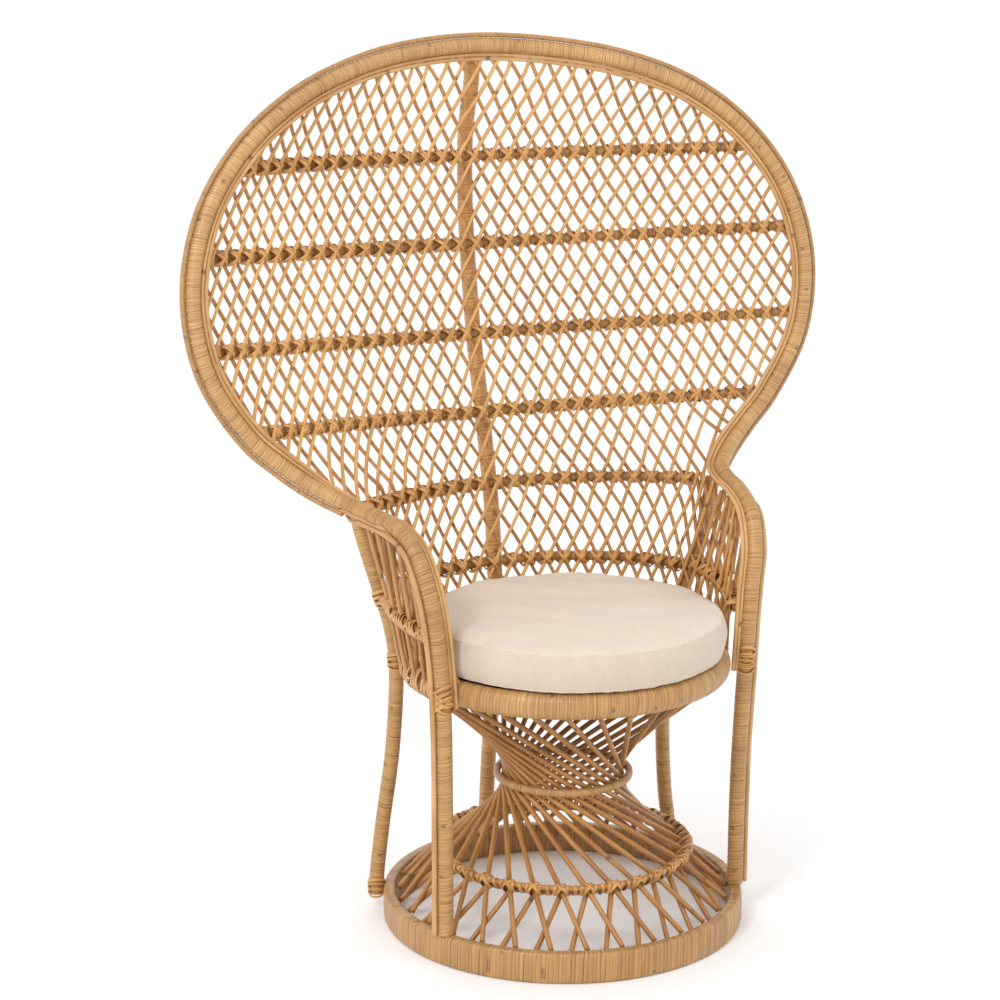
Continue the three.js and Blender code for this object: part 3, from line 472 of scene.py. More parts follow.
# Grain shared by every strip and reed: fibres that run along it, a tone that drifts from turn
# to turn, dark rings where the cane had its knots, and darkened edges where strips meet.
peel_group, knobs, peel_out = new_group(
    "rattan_grain", Light=PEEL_LIGHT, Dark=PEEL_DARK, Shade=PEEL_SHADE,
    Edge=1.0, Streaks=1.0, Knots=1.0)
t = peel_group
along, across = on_strip(t, "peel")[:2]
round_angle = times(t, across, 2 * math.pi)


def strip_vector(length_scale, width_scale, shift=0.0):
    """A place on the peel, rolled up so that its two edges meet."""
    return add_node(t, "ShaderNodeCombineXYZ", {
        "X": sums(t, "MULTIPLY_ADD", along, length_scale, shift),
        "Y": times(t, sums(t, "COSINE", round_angle), width_scale),
        "Z": times(t, sums(t, "SINE", round_angle), width_scale),
    }).outputs[0]


fibre = noise_at(t, strip_vector(22, 3.4), detail=4, roughness=0.65)
tone = noise_at(t, strip_vector(9, 0.15, 31), detail=3, roughness=0.6)
drift = noise_at(t, strip_vector(0.8, 0.0, 57), detail=1)
region = noise_at(t, on_object(t), scale=4.5)
tone_sum = sums(t, "MULTIPLY_ADD", drift, 0.35, times(t, region, 0.3))
tone = sums(t, "MULTIPLY_ADD", tone, 0.85, tone_sum)
colour = blended(t, eased(t, tone, 0.58, 0.95), knobs["Light"], knobs["Dark"])
streak = times(t, eased(t, fibre, 0.42, 0.72), knobs["Streaks"], 0.55)
colour = blended(t, streak, colour, knobs["Dark"])
colour = blended(t, times(t, eased(t, fibre, 0.5, 0.3), 0.35), colour, GLINT, "SOFT_LIGHT")
rings = add_node(
    t, "ShaderNodeTexVoronoi", {"W": times(t, along, 1.1), "Scale": 1.0},
    voronoi_dimensions="1D", feature="F1").outputs["Distance"]
knot = eased(t, noise_at(t, strip_vector(90, 1.2, 11), detail=1), 0.36, 0.52)
knot = times(t, eased(t, rings, 0.007, 0.002), knot, knobs["Knots"], 0.8)
colour = blended(t, knot, colour, KNOT_BROWN)
edge = sums(t, "ABSOLUTE", sums(t, "MULTIPLY_ADD", across, 2.0, -1.0))
open_edge = eased(t, noise_at(t, strip_vector(6, 0.0, 83), detail=3), 0.44, 0.62, 0.1)
edge = times(t, eased(t, edge, 0.66, 1.0), knobs["Edge"], open_edge)
fill(t, peel_out, {
    "Colour": blended(t, times(t, edge, 0.98), colour, knobs["Shade"]),
    "Roughness": eased(t, fibre, 0.25, 0.8, 0.34, 0.6),
    "Height": sums(t, "SUBTRACT", fibre, edge),
})


def rattan_finish(name, light, dark, edge=1.0, streaks=1.0, knots=1.0, coat=0.4):
    """Lacquered rattan in its own colours, from the shared grain."""
    values = {"Light": light, "Dark": dark, "Edge": edge, "Streaks": streaks, "Knots": knots}
    lacquer = {"Coat Weight": coat, "Coat Roughness": 0.3}
    return grained(name, peel_group, values, 0.7, PEEL_BUMP, lacquer)


pole_points = [(LEG_HALF_WIDTH, -LEG_ADVANCE, BASE_HEIGHT + FIT)]
for across_share, back_share, up_share in arm_shares:
    x = mix(LEG_HALF_WIDTH, NECK_HALF_WIDTH, across_share)
    pole_points.append((x, mix(-LEG_ADVANCE, NECK_SETBACK, back_share), NECK_HEIGHT * up_share))
pole_points.append((NECK_HALF_WIDTH, NECK_SETBACK, NECK_HEIGHT))
for across_share, back_share, up_share in rim_shares:
    y, z = mix(NECK_SETBACK, TOP_SETBACK, back_share), mix(NECK_HEIGHT, TOP_HEIGHT, up_share)
    pole_points.append((RIM_HALF_WIDTH * across_share, y, z))
pole_points += [(0, TOP_SETBACK, TOP_HEIGHT)] + [(-x, y, z) for x, y, z in reversed(pole_points)]
pole_line = through(pole_points, SPAN_STEPS)
neck = SPAN_STEPS * (len(arm_shares) + 1)
last = len(pole_line) - 1
top = last // 2
rim_span = slice(neck, last - neck + 1)
pole_ahead = directions(pole_line)
pole_outward = unit(np.stack([pole_ahead[:, 2], 0 * pole_ahead[:, 0], -pole_ahead[:, 0]], axis=1))

wound_piece(
    "wound_rim", rattan_finish("wound_peel", PEEL_LIGHT, PEEL_DARK), "rim_pole",
    pole_line[rim_span], oval(RIM_RADIUS, RIM_RADIUS, 16), RIM_STRIP, 11)


# Arm poles: the same wound pole, a little thicker, that leaves the neck, falls over each arm
# and turns down into a front leg that stands on the ring on the floor.
ARM_RADIUS, ARM_STRIP = 0.014, 0.0056
MIRROR = np.array([-1, 1, 1])
HANDS = (("right", 1), ("left", MIRROR))
arm_finish = rattan_finish("arm_peel", (0.57, 0.32, 0.108), (0.35, 0.17, 0.048))

arm_line = pole_line[: neck + 1]
for seed, (hand, mirrored) in zip((21, 22), HANDS):
    wound_piece(
        f"wound_arm_pole_{hand}", arm_finish, f"arm_pole_{hand}",
        arm_line * mirrored, oval(ARM_RADIUS, ARM_RADIUS, 16), ARM_STRIP, seed)


# Edging reeds: a thinner round reed nailed along the outer side of the rim and of each arm,
# wound with finer peel on the rim, and with plain reeds close beside it on the inner side.
EDGING_RADIUS, EDGING_STRIP = 0.0045, 0.0042
INNER_REED_RADIUS, REED_PRESS = 0.0035, 0.0012
SEAT_TOP, SEAT_HOOP_HEIGHT = 0.484, 0.044
NECK_SPANS = 3
edging_peel = rattan_finish("edging_peel", (0.484, 0.264, 0.093), PEEL_DARK)
plain_reed = rattan_finish(
    "plain_reed", (0.627, 0.373, 0.15), (0.446, 0.232, 0.077), edge=0.0, streaks=0.8, coat=0.35)

edge_line = pole_line + pole_outward * (RIM_RADIUS + FIT + EDGING_RADIUS)
wound_piece(
    "wound_rim_edging", edging_peel, "rim_edging_reed",
    edge_line[rim_span], oval(EDGING_RADIUS, EDGING_RADIUS, 10), EDGING_STRIP, 31, hand=-1)


def tube(line, side, up, radius, sides):
    angles = 2 * math.pi * np.arange(sides)[:, None] / sides
    return line[:, None] + (side[:, None] * np.cos(angles) + up[:, None] * np.sin(angles)) * radius


def reed_corners(u0, u1, sides):
    v = np.arange(sides) / sides
    return corner_places(u0, u1, v, v + 1 / sides)


def rod(batch, line, radius, seed, sides=8, spacing=0.006, crook=0.0):
    """A round reed along a line, slightly uneven, with closed ends."""
    draws = np.random.default_rng(seed)
    line = evenly(np.array(line), spacing)
    side, up = carried_frames(line)
    reach = reach_along(line)
    phases = draws.uniform(0, 2 * math.pi, 6)
    rates = (21, 47, 13, 63, 90, 33)
    waves = [np.sin(reach * rate + phase)[:, None] for rate, phase in zip(rates, phases)]
    bend = crook * np.clip(np.sin(math.pi * reach / reach[-1]), 0, 1)[:, None] ** 0.25
    line = line + side * bend * (waves[0] + 0.5 * waves[1])
    line = line + up * bend * (waves[2] + 0.5 * waves[3])
    girth = radius * (1 + 0.03 * waves[4] + 0.03 * waves[5])
    start = GRAIN_LENGTH * draws.uniform()
    u = reach[:, None] + start
    points = tube(line, side, up, girth[:, None], sides)
    skin(batch, points, reed_corners(u[:-1], u[1:], sides), cap=start)


for hand, mirrored in HANDS:
    batch = Batch()
    outer_line = arm_line + pole_outward[: neck + 1] * (ARM_RADIUS + FIT + EDGING_RADIUS)
    rod(batch, outer_line[: neck - SPAN_STEPS // 2] * mirrored, EDGING_RADIUS, 41, sides=10)
    batch.piece(f"arm_edging_{hand}", plain_reed, "plain_reed", f"arm_edging_reed_{hand}")

# Towards the seat along the arm, turning towards the middle of the balloon past the neck
turning = smoothstep(np.arange(last + 1), neck, neck + NECK_SPANS * SPAN_STEPS)
seatward = unit(np.array([-1.0, 0, 0]) + pole_ahead * pole_ahead[:, :1])
inward = unit(mix(seatward, -pole_outward, turning[:, None]))
inward[top + 1 :] = inward[:top][::-1] * MIRROR
for name, rank in (("inner_reed_outer", 1), ("inner_reed_inner", 3)):
    line = pole_line + inward * (ARM_RADIUS + rank * INNER_REED_RADIUS - REED_PRESS)
    line = line[line[:, 2] > SEAT_TOP - SEAT_HOOP_HEIGHT]
    batch = Batch()
    rod(batch, line, INNER_REED_RADIUS, 50 + rank, sides=10)
    batch.piece(f"plain_{name}", plain_reed, "plain_reed", name)


# Rear legs and spine: wound poles behind the chair. The legs rise from the ring beside the
# seat's roll to the underside of the arms, the spine bows back behind the balloon to its top.
REAR_LEG_RADIUS, LEG_STRIP = 0.013, 0.0058
REAR_LEG_AZIMUTH, REAR_SEAT_AZIMUTH = 117.0, 114.0
SPINE_RADIUS, SPINE_STRIP, SPINE_BOW = 0.014, 0.0066, 0.413
FOOT_CLEARANCE = 0.03
SEAT_RADIUS, SEAT_CENTRE, SEAT_MIDDLE = 0.278, -0.0125, SEAT_TOP - SEAT_HOOP_HEIGHT / 2
BASE_RADIUS = 0.3118
# Foot to seat and seat to arm: the way across, back and up, as shares
rear_lower_shares = [(0.5, 0, 0.28), (1.1, 0.42, 0.625)]
rear_upper_shares = [(0.2, 1.1, 0.25), (0.53, 1.9, 0.51), (0.85, 1.2, 0.82)]
# Out from the seat towards the foot or the bow, and up, as shares
spine_lower_share = (0.76, 0.33)
spine_upper_shares = [
    (0.05, 0.097), (0.144, 0.198), (0.364, 0.32), (0.735, 0.5),
    (0.94, 0.656), (1, 0.74), (0.97, 0.856), (0.78, 0.939),
]


def nearness(points, line):
    """Distance of each point from the nearest point of a line."""
    line = evenly(line, 0.004)
    flat = points.reshape(-1, 3)
    least = np.full(len(flat), np.inf)
    for start in range(0, len(line), 200):
        gaps = flat[:, None] - line[None, start : start + 200]
        least = np.minimum(least, np.sqrt((gaps**2).sum(axis=2)).min(axis=1))
    return least.reshape(points.shape[:-1])


leg_foot = around(BASE_RADIUS + FIT + REAR_LEG_RADIUS, REAR_LEG_AZIMUTH, FOOT_CLEARANCE)
leg_seat = around(SEAT_RADIUS + FIT + REAR_LEG_RADIUS, REAR_SEAT_AZIMUTH, SEAT_MIDDLE, SEAT_CENTRE)
leg_head = np.array([NECK_HALF_WIDTH - REAR_LEG_RADIUS, NECK_SETBACK, NECK_HEIGHT])
leg_line = through([
    leg_foot, leg_foot * (1, 1, 0) + (0, 0, BASE_HEIGHT),
    *(mix(leg_foot, leg_seat, np.array(shares)) for shares in rear_lower_shares), leg_seat,
    *(mix(leg_seat, leg_head, np.array(shares)) for shares in rear_upper_shares), leg_head,
], SPAN_STEPS)
touches = nearness(leg_line, arm_line) < ARM_RADIUS + REAR_LEG_RADIUS / 3
leg_line = leg_line[: np.argmax(touches) or None]

foot_setback = BASE_RADIUS + FIT + SPINE_RADIUS
seat_setback = SEAT_CENTRE + SEAT_RADIUS + FIT + SPINE_RADIUS
out, up = spine_lower_share
spine_line = through([
    (0, foot_setback, FOOT_CLEARANCE), (0, foot_setback, BASE_HEIGHT),
    (0, mix(seat_setback, foot_setback, out), mix(FOOT_CLEARANCE, SEAT_MIDDLE, up)),
    (0, seat_setback, SEAT_MIDDLE),
    *((0, mix(seat_setback, SPINE_BOW, out), mix(SEAT_MIDDLE, TOP_HEIGHT, up))
      for out, up in spine_upper_shares),
    (0, TOP_SETBACK + RIM_RADIUS + FIT + SPINE_RADIUS, TOP_HEIGHT),
], SPAN_STEPS)

spine_peel = rattan_finish("spine_peel", (0.72, 0.41, 0.13), (0.5, 0.25, 0.07), streaks=1.2)
for hand, mirrored in HANDS:
    wound_piece(
        f"wound_rear_leg_{hand}", arm_finish, f"rear_leg_{hand}", leg_line * mirrored,
        oval(REAR_LEG_RADIUS, REAR_LEG_RADIUS, 14), LEG_STRIP, 61, hand=-1)
spine_section = oval(SPINE_RADIUS, SPINE_RADIUS, 14)
wound_piece("wound_spine", spine_peel, "spine", spine_line, spine_section, SPINE_STRIP, 63)


# Crossbars: five thinner wound bars that run behind the lattice from rim to rim and carry it.
# They are darker than the rim, and sag or rise a little from their middles to their ends.
BAR_RADIUS, BAR_STRIP = 0.009, 0.0048
LASH_WIDTH, LASH_THICKNESS, LASH_SLACK = 0.0062, 0.0012, 0.0017
# From a bar's middle to the front of the reeds tied to it
LASH_AHEAD = 0.0205
LASH_SQUARENESS, LASH_DRIFT = 2.2, 0.0008
CROSS_LEANS, LEAN_SPREAD = (0.15, 0.75, -0.75), 0.12
# Cut ends of peel: how many crossings have one, its length and its thickness
CUT_END_SHARE, CUT_END_LENGTH, CUT_END_RADIUS = 0.4, 0.007, 0.0009
LATTICE_THICKNESS, LATTICE_PITCH = 0.005, 0.0315
# Rows of crossings that fall on the bars, counted from the lowest bar
bar_rows = [0, 5, 10, 16, 22]
# Heights of each bar's middle and ends, as shares from the neck to the top
bar_shares = [
    (-0.0436, -0.0368), (0.1261, 0.1559), (0.3106, 0.3459), (0.525, 0.5535), (0.7341, 0.7449),
]
BAR_DARK = (0.32, 0.135, 0.036)
bar_peel = rattan_finish("bar_peel", (0.58, 0.31, 0.09), BAR_DARK)
lash_peel = rattan_finish("lash_peel", (0.72, 0.4, 0.125), (0.44, 0.2, 0.056), knots=0.5)
bar_section = oval(BAR_RADIUS, BAR_RADIUS, 12)
lashings = Batch()

lattice_before_spine = SPINE_RADIUS + 6 * FIT + 2 * BAR_RADIUS + LATTICE_THICKNESS / 2
bar_behind_lattice = LATTICE_THICKNESS / 2 + 2 * FIT + BAR_RADIUS
rim_half = pole_line[neck : top + 1]
rim_climb = np.maximum.accumulate(rim_half[:, 2])
spine_climb = np.maximum.accumulate(spine_line[:, 2])
spine_at_top = np.interp(TOP_HEIGHT, spine_climb, spine_line[:, 1])
bar_heights = NECK_HEIGHT + (TOP_HEIGHT - NECK_HEIGHT) * np.array(bar_shares)


def balloon_arc(height):
    """Radius, middle and reach of the balloon's surface at a height."""
    edge_x, edge_y = (np.interp(height, rim_climb, rim_half[:, k]) for k in (0, 1))
    easing = smoothstep(height, bar_heights[-1][0], TOP_HEIGHT)
    lead = mix(lattice_before_spine, spine_at_top - TOP_SETBACK, easing)
    middle = np.interp(height, spine_climb, spine_line[:, 1]) - lead
    sag = np.maximum(middle - edge_y, 1e-4)
    radius = (edge_x**2 + sag**2) / (2 * sag)
    return radius, middle, radius * np.arctan2(edge_x, radius - sag)


def balloon_point(distance, height):
    radius, middle, _ = balloon_arc(height)
    angle = distance / radius
    back = middle - radius * (1 - np.cos(angle))
    return np.stack([radius * np.sin(angle), back, height], axis=-1)


def balloon_front(distance, height, step=0.002):
    """The direction square to the balloon's surface, towards the sitter."""
    across = balloon_point(distance + step, height) - balloon_point(distance - step, height)
    up = balloon_point(distance, height + step) - balloon_point(distance, height - step)
    return unit(np.cross(across, up))


def bar_at(place, share):
    middle, end = bar_heights[place]
    height = mix(middle, end, share**2)
    distance = balloon_arc(height)[2] * share
    front = balloon_front(distance, height)
    return balloon_point(distance, height) - front * bar_behind_lattice, front


def from_middle(inside, *rows):
    """The run of rows about the middle one that are all inside."""
    half = len(inside) // 2
    first = half - np.argmin(np.append(inside[half::-1], False)) + 1
    end = half + np.argmin(np.append(inside[half:], False))
    return [values[first:end] for values in rows]


def lash(centre, along, front, rise_half, depth_half, lean, draws, width=LASH_WIDTH):
    """A loop of flat peel tied slantwise round a bar and what crosses it."""
    rise = unit(np.cross(front, along) * math.cos(lean) + along * math.sin(lean))
    steps = 16
    reach, outward = oval(depth_half, rise_half, steps, LASH_SQUARENESS)
    angles = 2 * math.pi * np.arange(steps) / steps
    shift = LASH_DRIFT * np.sin(angles + draws.uniform(0, 6.3))
    aside, lift = width * np.array([-0.5, -0.5, 0.5, 0.5]), np.array([0, 1, 1, 0])
    place = reach[:, None] + outward[:, None] * lift[:, None] * LASH_THICKNESS
    points = centre + front * place[..., :1] + rise * place[..., 1:]
    points = points + np.cross(rise, front) * (aside + shift[:, None])[..., None]
    girth = np.linalg.norm(reach - np.roll(reach, -1, axis=0), axis=1).mean()
    u = np.arange(steps)[:, None] * girth + GRAIN_LENGTH * draws.uniform()
    v = np.array([0.1, 0.1, 0.9, 0.9])
    skin(lashings, points, corner_places(u, u + girth, v, np.roll(v, -1)))


def cross_lash(centre, along, front, draws):
    """Three loops that cross on the front of a bar, and on some a cut end that sticks out."""
    middle = centre + front * (LASH_AHEAD - BAR_RADIUS) / 2
    for lean in CROSS_LEANS:
        lean = lean + draws.uniform(-LEAN_SPREAD, LEAN_SPREAD)
        rise_half = (BAR_RADIUS + LASH_SLACK) / math.cos(lean)
        lash(middle, along, front, rise_half, (LASH_AHEAD + BAR_RADIUS) / 2, lean, draws)
    if draws.uniform() < CUT_END_SHARE:
        side = draws.choice([-1, 1])
        root = centre + front * LASH_AHEAD * 0.6 + along * side * 0.004
        rise = np.array([0, 0, draws.choice([-1, 1]) * 1.2])
        tip = root + unit(front + along * side * 0.5 + rise) * CUT_END_LENGTH
        seed = int(draws.integers(1 << 30))
        rod(lashings, [root, tip], CUT_END_RADIUS, seed, sides=4, spacing=0.003)


for place in range(len(bar_heights)):
    line, front = bar_at(place, np.linspace(-1, 1, 241))
    inside = nearness(line, pole_line) > RIM_RADIUS + BAR_RADIUS / 2
    if place == 0:
        # The lowest bar ends at the neck, and at the rear legs
        for side in (1, MIRROR):
            inside &= nearness(line, leg_line * side) > REAR_LEG_RADIUS
        inside &= np.abs(line[:, 0]) < NECK_HALF_WIDTH - RIM_RADIUS - BAR_RADIUS
    line, front = from_middle(inside, line, front)
    # Crossings of the lattice fall on every second half pitch along the bar
    draws = np.random.default_rng(700 + place)
    bar_reach = balloon_arc(bar_heights[place][1])[2]
    for count in range(-44 + bar_rows[place] % 2, 45, 2):
        share = count * LATTICE_PITCH / 2 / bar_reach
        if abs(share) > 1:
            continue
        centre, towards = bar_at(place, np.array([share]))
        if nearness(centre, pole_line)[0] < RIM_RADIUS + 2 * BAR_RADIUS:
            continue
        if nearness(centre, line)[0] < BAR_RADIUS:
            before, beyond = bar_at(place, share + np.array([-0.01, 0.01]))[0]
            cross_lash(centre[0], unit(beyond - before), towards[0], draws)
    number = place + 1
    wound_piece(
        f"wound_crossbar_{number}", bar_peel, f"crossbar_{number}",
        line, bar_section, BAR_STRIP, 70 + place)


# Balloon lattice: round reeds in two layers that cross in diamonds, tied where they pass the
# bars. The layer towards the sitter is the lighter one, and the ends hide behind the rim's reeds.
LATTICE_REED_RADIUS = 0.0033
REED_SIDES, REED_SPACING = 6, 0.007
# Reeds of a layer on each side of the middle one, and how far they sway
REEDS_ASIDE, REED_SWAYS, LAYER_WAVE = 36, (0.0011, 0.0007), 0.0004
TUCK = 0.0045
LOW_ROW, TOP_ROW, ROW_STEP = -0.25, 30.0, 0.2
# Half a diamond's height below the lowest bar and above the highest
ROW_RISE = 0.0272
# The last stretch of a reed runs straight on, further beside the neck, and past the lowest bar
# where its end is nearer than this to the rim
STRAIGHT_END, NECK_STRAIGHT_END, PAST_BAR_GAP = 0.055, 0.12, 0.16
front_reed = rattan_finish(
    "front_reed", (0.7, 0.39, 0.118), (0.5, 0.245, 0.065), edge=0, streaks=0.7)
back_reed = rattan_finish(
    "back_reed", (0.54, 0.265, 0.074), (0.34, 0.147, 0.036), edge=0, streaks=0.8)
# Each layer's lean, its place before the lattice's middle, its finish and the solid it stands for
LAYERS = {
    "front": (1, 0.0046, front_reed, "back_lattice_left"),
    "back": (-1, -0.0005, back_reed, "back_lattice_right"),
}

low, high = LOW_ROW - 1, TOP_ROW + 1
rows_known = [low] + bar_rows + [high]
heights_known = np.vstack([
    bar_heights[0] + low * ROW_RISE, bar_heights,
    bar_heights[-1] + (high - bar_rows[-1]) * ROW_RISE,
])


def lattice_height(distance, row):
    """Height of a row of crossings, which bends as the bars do towards the sides."""
    middle, end = (np.interp(row, rows_known, heights_known[:, k]) for k in (0, 1))
    return mix(middle, end, np.clip(distance / balloon_arc(middle)[2], -1, 1) ** 2)


def longest_run(mask):
    edges = np.flatnonzero(np.diff(np.concatenate([[0], mask.astype(int), [0]])))
    starts, ends = edges[::2], edges[1::2]
    if not len(starts):
        return slice(0, 0)
    widest = np.argmax(ends - starts)
    return slice(starts[widest], ends[widest])


row_places = np.arange(LOW_ROW, TOP_ROW, ROW_STEP)
rim_seat = pole_line + inward * (ARM_RADIUS + 0.004)


def run_on(points, gap, front, low_end):
    """Points of a reed whose last stretch goes on in one easy curve to its seat behind the rim."""
    order = slice(None, None, -1) if low_end else slice(None)
    points, gap, front = points[order], gap[order], front[order]
    beside_neck = points[-1, 2] < bar_heights[2, 0]
    past_bar = low_end and points[-1, 2] < NECK_HEIGHT and gap[-1] < PAST_BAR_GAP
    far = np.flatnonzero(gap > (NECK_STRAIGHT_END if beside_neck else STRAIGHT_END))
    if past_bar:
        far = np.flatnonzero(points[:, 2] > bar_heights[1, 1])
    if (gap[-1] > STRAIGHT_END / 2 and not past_bar) or not len(far) or far[-1] < 4:
        return points[order]
    keep = far[-1]
    start = points[keep]
    heading = unit(start - points[keep - 4])
    ahead = start + heading * np.linspace(0.02, 0.3, 80)[:, None]
    apart = np.linalg.norm(ahead[:, None] - rim_seat[None], axis=2)
    seat = points[-1] if past_bar else rim_seat[apart.min(axis=0).argmin()] - front[-1] * TUCK
    turn = start + heading * np.linalg.norm(seat - start) / 2
    share = np.linspace(0, 1, 12)[1:, None]
    curve = (1 - share) ** 2 * start + 2 * share * (1 - share) * turn + share**2 * seat
    return np.vstack([points[: keep + 1], curve])[order]


for layer_name, (lean, layer, finish, node) in LAYERS.items():
    batch = Batch()
    draws = np.random.default_rng(80 + lean)
    for number in range(-REEDS_ASIDE, REEDS_ASIDE + 1):
        distance = (2 * number + lean * row_places) * LATTICE_PITCH / 2
        phases = draws.uniform(0, 6.3, 3)
        for sway, rate, phase in zip(REED_SWAYS, (0.9, 2.1), phases):
            distance = distance + sway * np.sin(row_places * rate + phase)
        height = lattice_height(distance, row_places)
        reach = balloon_arc(height)[2]
        inside = (np.abs(distance) < reach) & (height < TOP_HEIGHT)
        distance = np.clip(distance, -reach, reach)
        points = balloon_point(distance, height)
        gap = nearness(points, pole_line)
        run = longest_run(inside & (gap > RIM_RADIUS + LATTICE_REED_RADIUS))
        if run.stop - run.start < 5:
            continue
        front = balloon_front(distance, height)
        ripple = LAYER_WAVE * np.sin(row_places * 1.3 + phases[2])
        points = (points + front * (layer + ripple)[:, None])[run]
        gap, front, half = gap[run], front[run], len(points) // 2
        points = np.vstack([
            run_on(points[:half], gap[:half], front[:half], True),
            run_on(points[half:], gap[half:], front[half:], False)])
        rod(batch, points, LATTICE_REED_RADIUS, 900 + number * 2 + lean, REED_SIDES, REED_SPACING)
    batch.piece(f"balloon_reeds_{layer_name}", finish, "plain_reed", node)


# Walls of the seat: the lattice goes on below the balloon, stands on the roll behind and beside
# the sitter, and ends under the arms. The same two layers of reeds, at a closer pitch.
WALL_BELOW_NECK, WALL_INSIDE_NECK = 0.027, 0.037
WALL_SIDE_INSET, WALL_BACK_INSET = 0.002, 0.024
WALL_TOP_LEAD, WALL_TOP_CENTRE = 0.004, 0.03
SQUARING_SHARE = 0.1
WALL_FOOT_TURN, WALL_TOP_TURN = 115.0, 110.0
WALL_COLUMNS, WALL_ROWS, WALL_ROW_STEP = 36, 8, 0.15
# The reeds join the balloon's in the last rows behind the sitter, up to these turns
JOIN_ROWS, JOIN_TURNS, WALL_BACK_TURN = 4, (64, 80), 72
# From the neck down, the stretch of the arms that the reeds of the sides end under
ARM_FALL, BELOW_ARM = 0.12, 0.003
SEAT_HOOP_WIDTH = 0.034
wall_top = NECK_HEIGHT - WALL_BELOW_NECK
wall_top_depth = balloon_arc(wall_top)[1] - WALL_TOP_LEAD - WALL_TOP_CENTRE


def signed_power(value, power):
    return np.sign(value) * np.abs(value) ** power


def wall_point(turn, height, outward=0.0):
    """A point of the wall, its turn counted in degrees from the back."""
    share = (height - SEAT_TOP) / (wall_top - SEAT_TOP)
    power = 1 / (1 + SQUARING_SHARE * share)
    half_width = mix(SEAT_RADIUS - WALL_SIDE_INSET, NECK_HALF_WIDTH - WALL_INSIDE_NECK, share)
    depth = mix(SEAT_RADIUS - WALL_BACK_INSET, wall_top_depth, share)
    x = (half_width + outward) * signed_power(np.sin(np.radians(turn)), power)
    y = (depth + outward) * signed_power(np.cos(np.radians(turn)), power)
    y = mix(SEAT_CENTRE, WALL_TOP_CENTRE, share) + y
    return np.stack(np.broadcast_arrays(x, y, height), axis=-1)


def roll_shoulder(points):
    """Height of the roll's surface at points that stand on it."""
    from_centre = np.hypot(points[..., 0], points[..., 1] - SEAT_CENTRE)
    away = np.abs(from_centre - SEAT_RADIUS + SEAT_HOOP_WIDTH / 2)
    share = np.clip(2 * away / SEAT_HOOP_WIDTH, 0, 1)
    return SEAT_MIDDLE + SEAT_HOOP_HEIGHT / 2 * np.sqrt(1 - share**2)


def wall_front(turn, height):
    """Towards the sitter, level."""
    beside = wall_point(turn + 0.5, height) - wall_point(turn - 0.5, height)
    return unit(np.stack([beside[..., 1], -beside[..., 0], 0 * beside[..., 0]], axis=-1))


wall_rows = np.arange(-0.1, WALL_ROWS + 1.01, WALL_ROW_STEP)
balloon_edge = balloon_arc(wall_top)[2]
arm_fall = arm_line[np.argmax(arm_line[:, 2] > NECK_HEIGHT - ARM_FALL) :][::-1]
for layer_name, (lean, layer, finish, _) in LAYERS.items():
    batch = Batch()
    draws = np.random.default_rng(90 + lean)
    for number in range(-WALL_ROWS, WALL_COLUMNS + WALL_ROWS + 1):
        phases = draws.uniform(0, 6.3, 2)
        column = 2 * number + lean * wall_rows + 0.03 * np.sin(wall_rows * 1.7 + phases[0])
        share = wall_rows / WALL_ROWS
        turn = mix(WALL_FOOT_TURN, WALL_TOP_TURN, share) * (column / WALL_COLUMNS - 1)
        height = mix(roll_shoulder(wall_point(turn, SEAT_TOP)), wall_top + 0.002, share)
        points = wall_point(turn, height)
        # Behind the sitter the reeds run on into the balloon, from the same crossings
        joins = smoothstep(wall_rows, WALL_ROWS - JOIN_ROWS, WALL_ROWS)
        joins = joins * (1 - smoothstep(np.abs(turn), *JOIN_TURNS))
        distance = (column - WALL_COLUMNS) * LATTICE_PITCH / 2
        distance = np.clip(distance, -balloon_edge, balloon_edge)
        points = mix(points, balloon_point(distance, height), joins[:, None])
        # Behind the sitter the wall meets the balloon, beside the sitter the reeds of the arms
        arm_above = np.interp(-points[:, 1], -arm_fall[:, 1], arm_fall[:, 2]) - BELOW_ARM
        highest = np.where(np.abs(turn) < WALL_BACK_TURN, wall_top + 0.005, arm_above)
        at_pole = nearness(points, pole_line) < ARM_RADIUS + LATTICE_REED_RADIUS
        inside = (column >= 0) & (column <= 2 * WALL_COLUMNS)
        run = longest_run(inside & (np.cumsum((height > highest) | at_pole) == 0))
        if run.stop - run.start < 4:
            continue
        ripple = LAYER_WAVE * np.sin(wall_rows * 1.3 + phases[1])
        points = (points + wall_front(turn, height) * (layer + ripple)[:, None])[run]
        rod(batch, points, LATTICE_REED_RADIUS, 1200 + number * 2 + lean, REED_SIDES, REED_SPACING)
    nodes = ("side_lattice_left", "side_lattice_right") if lean > 0 else ("lower_back_lattice",)
    batch.piece(f"wall_reeds_{layer_name}", finish, "plain_reed", *nodes)


# Bars and spindles of the walls: a wound bar outside the back wall, one outside each side wall,
# and plain round spindles from the roll to that bar and from the bar to the arm.
SIDE_BAR_RADIUS, SPINDLE_RADIUS, SPINDLE_CROOK = 0.008, 0.004, 0.0006
